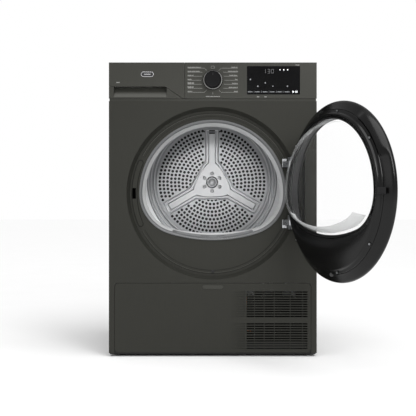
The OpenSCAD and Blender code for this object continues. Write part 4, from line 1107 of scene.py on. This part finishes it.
class BuildDrum(bpy.types.Operator):
    """Builds the drum's star and rivets and finishes its shell, rear wall and lifters"""

    bl_idname = "dryer.build_drum"
    bl_label = "Drum"

    def execute(self, context):
        finish_nodes(plain("drum_steel"), "drum_shell", "drum_back")
        finish_nodes(plain("moulded_grey"), "drum_lifters")
        finish_nodes(plain("cast_metal"), "drum_shaft", "rear_bearing")
        finish_nodes(plain("rubber"), "roller_left", "roller_right")
        self.star()
        self.rivets()
        self.slots()
        return {"FINISHED"}

    def star_outline(self, half_arm, reach, hub, flare):
        """Three arms at a third of a turn, with concave flares into the hub."""
        points = []
        for arm in range(3):
            up = radians(90 + 120 * arm)
            out = Vector((cos(up), sin(up)))
            side = Vector((-sin(up), cos(up)))
            start = sqrt(max(hub ** 2 - half_arm ** 2, 1)) + flare
            points.append(out * start - side * half_arm)
            points.append(out * reach - side * half_arm)
            points.append(out * reach + side * half_arm)
            points.append(out * start + side * half_arm)
            far = hypot(start, half_arm)
            edge = math.asin(half_arm / far)
            for step in range(1, 12):
                t = step / 12
                angle = up + edge + (radians(120) - 2 * edge) * t
                pull = 1 - abs(2 * t - 1) ** 1.6
                reach_here = far + (hub - far) * pull
                points.append(Vector((cos(angle), sin(angle))) * reach_here)
        return [(p.x * MM, DRUM_Z + p.y * MM) for p in points]

    def star(self):
        y = BACK_Y / MM

        def at(outline, depth):
            return [Vector((x, depth * MM, z)) for x, z in outline]

        base = prism(self.star_outline(23.5, 182, 56, 24), (y - 1.6) * MM, (y - 0.2) * MM)
        add_piece("drum_star_plate", base, "drum", plain("drum_steel"),
                  replaces=("drum_star",), bevel=0.6)
        outer = self.star_outline(22.5, 180.6, 55, 23.6)
        crest = self.star_outline(20.9, 179, 53.8, 23.2)
        inner = self.star_outline(18.6, 176.6, 52, 22.6)
        rim = loft([at(outer, y - 1), at(outer, y - 3.6), at(crest, y - 5.2), at(inner, y - 3.8),
                    at(inner, y - 1)], closed=True)
        add_piece("drum_star_rim", rim, "drum", plain("star_steel"), sharp=50)
        foot = self.star_outline(12.5, 170, 49.5, 20.5)
        brow = self.star_outline(9.6, 166.5, 47.5, 19)
        shoulder = self.star_outline(10.4, 167.4, 48, 19.4)
        ridge = loft([at(foot, y - 1), at(foot, y - 2.2), at(shoulder, y - 6.2),
                      at(brow, y - 6.9)], cap_start=True, cap_end=True)
        add_piece("drum_star_ridge", ridge, "drum", plain("star_steel"), sharp=24)
        dish = lathe([(223.5, y - 3.5), (236, y - 6), (256, y - 10.6), (276.6, y - 16.4),
                      (278.4, y - 16.4), (278.4, y - 14.6), (256, y - 8.6), (236, y - 4),
                      (223.5, y - 1.6)], (0, DRUM_Z), steps=160, closed=True)
        # The rear dish is lighter than the drum steel, a painted highlight.
        add_piece("drum_rear_dish", dish, "drum",
                  plain("dish_steel_painted_highlight"), sharp=40)
        rings = [lathe([(r - w, y - 8.6), (r - w * 0.6, y - 11), (r + w * 0.6, y - 11),
                        (r + w, y - 8.6)], (0, DRUM_Z), steps=144, closed=True)
                 for r, w in ((198, 2.6), (209, 2.2), (218, 2.6))]
        add_piece("drum_pressed_rings", join(*rings), "drum", plain("star_steel"),
                  sharp=60)
        rim = lathe([(20.4, y - 6.9), (20.4, y - 8.4), (18.8, y - 9.0), (16.6, y - 8.6),
                     (15.8, y - 7.2), (15.8, y - 6.9)], (0, DRUM_Z), steps=96, closed=True)
        add_piece("hub_ring", rim, "drum", plain("dark_steel"))
        cap = lathe([(13.4, y - 6.9), (13.4, y - 7.8), (11.6, y - 9.4), (7.5, y - 10.8),
                     (0, y - 11.3)], (0, DRUM_Z), steps=64)
        add_piece("hub_cap", cap, "drum", plain("star_steel"), sharp=60)

    def rivets(self):
        y = BACK_Y / MM
        shapes = []
        for step in range(6):
            a = radians(90 + 60 * step)
            centre = (30 * MM * cos(a), DRUM_Z + 30 * MM * sin(a))
            shapes.append(lathe([(6.4, y - 6.8), (6.4, y - 7.6), (5.6, y - 8.6), (3.4, y - 9.4),
                                 (0, y - 9.7)], centre, steps=32))
        add_piece("drum_rivet_heads", join(*shapes), "drum", plain("star_steel"),
                  replaces=("drum_rivets",), sharp=60)

    def slots(self):
        """The pair of dark sensing slots near the end of the upper arm."""
        y = BACK_Y / MM
        shapes = [block((-10, y - 7.9, DRUM_Z / MM + z), (10, y - 7.5, DRUM_Z / MM + z + 4.6))
                  for z in (166.5, 174.5)]
        add_piece("sensor_slots", join(*shapes), "drum", plain("moulded_black"),
                  bevel=0.1)


class BuildInside(bpy.types.Operator):
    """Finishes the motor, the fans, the heat pump and the belt"""

    bl_idname = "dryer.build_inside"
    bl_label = "Drive and heat pump"

    def execute(self, context):
        finish_nodes(plain("rubber"), "drive_belt")
        finish_nodes(plain("cast_metal"), "motor_body")
        finish_nodes(plain("enamel_black"), "motor_rotor")
        # The fans and the compressor take a dull near-black, partly their own colour and partly
        # painted shade, so that the kick cover's slots look dark.
        finish_nodes(plain("deep_black"), "process_fan", "cooling_fan_rotor", "cooling_fan_frame")
        finish_nodes(plain("moulded_grey"), "fan_housing")
        finish_nodes(plain("deep_black"), "compressor")
        finish_nodes(plain("fin_metal"), "evaporator", "condenser")
        finish_nodes(plain("copper_tube"), "refrigerant_pipes")
        finish_nodes(plain("moulded_black"), "condensate_pump")
        return {"FINISHED"}


class BuildServiceCover(bpy.types.Operator):
    """Finishes the kick cover and its latch button, with painted shade round the button"""

    bl_idname = "dryer.build_service_cover"
    bl_label = "Service cover"

    def execute(self, context):
        finish_nodes(paint("dark_metallic_paint"), "kick_cover")
        finish_nodes(paint("fascia_paint"), "kick_latch")
        for name, width in (("kick_latch", 1.0), ("kick_cover", 0.35)):
            edge = frame["nodes"][name].modifiers.new("edges", "BEVEL")
            edge.width = width * MM
            edge.segments = 2
            edge.limit_method = "ANGLE"
            edge.angle_limit = radians(50)
        self.latch_painted_shade()
        return {"FINISHED"}

    def latch_painted_shade(self):
        """A dark ring of painted shade round the latch button, where the gap lies."""
        low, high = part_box("kick_latch")
        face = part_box("kick_cover")[0].y

        def at(grow, y):
            outline = round_outline(low.x / MM - grow, low.z / MM - grow, high.x / MM + grow,
                                    high.z / MM + grow, (high.z - low.z) / MM / 2 + grow - 0.1)
            return [Vector((x, y, z)) for x, z in outline]

        # Painted shade: a dark ring on the cover's face round the button.
        shade_ring = loft([at(1.7, face + 0.6 * MM), at(1.5, face + 0.05 * MM),
                     at(0.3, face + 0.05 * MM), at(0.15, face + 0.6 * MM)], closed=True)
        add_piece("latch_painted_shade", shade_ring, "service_cover", paint("painted_shade_paint"), sharp=60)


OPERATORS = (
    BuildStage, BuildCabinet, BuildPorthole, BuildControls, BuildDoorShell, BuildDoorGlass,
    BuildDrum, BuildInside, BuildServiceCover)


class DryerPanel(bpy.types.Panel):
    """Lists the dryer's sizes, colours and building steps"""

    bl_idname = "VIEW3D_PT_dryer"
    bl_label = "Clothes dryer"
    bl_space_type = "VIEW_3D"
    bl_region_type = "UI"
    bl_category = "Dryer"

    def draw(self, context):
        layout = self.layout
        for group in (context.scene.dryer_finish, context.scene.dryer_studio):
            for name in group.__annotations__:
                layout.prop(group, name)
        for operator in OPERATORS:
            layout.operator(operator.bl_idname)


CLASSES = (DryerFinish, DryerStudio) + OPERATORS + (DryerPanel,)


def register():
    for cls in CLASSES:
        bpy.utils.register_class(cls)
    bpy.types.Scene.dryer_finish = PointerProperty(type=DryerFinish)
    bpy.types.Scene.dryer_studio = PointerProperty(type=DryerStudio)


def unregister():
    del bpy.types.Scene.dryer_studio
    del bpy.types.Scene.dryer_finish
    for cls in reversed(CLASSES):
        bpy.utils.unregister_class(cls)


def main():
    register()
    for operator in OPERATORS:
        group, name = operator.bl_idname.split(".")
        getattr(getattr(bpy.ops, group), name)()


if __name__ == "__main__":
    main()
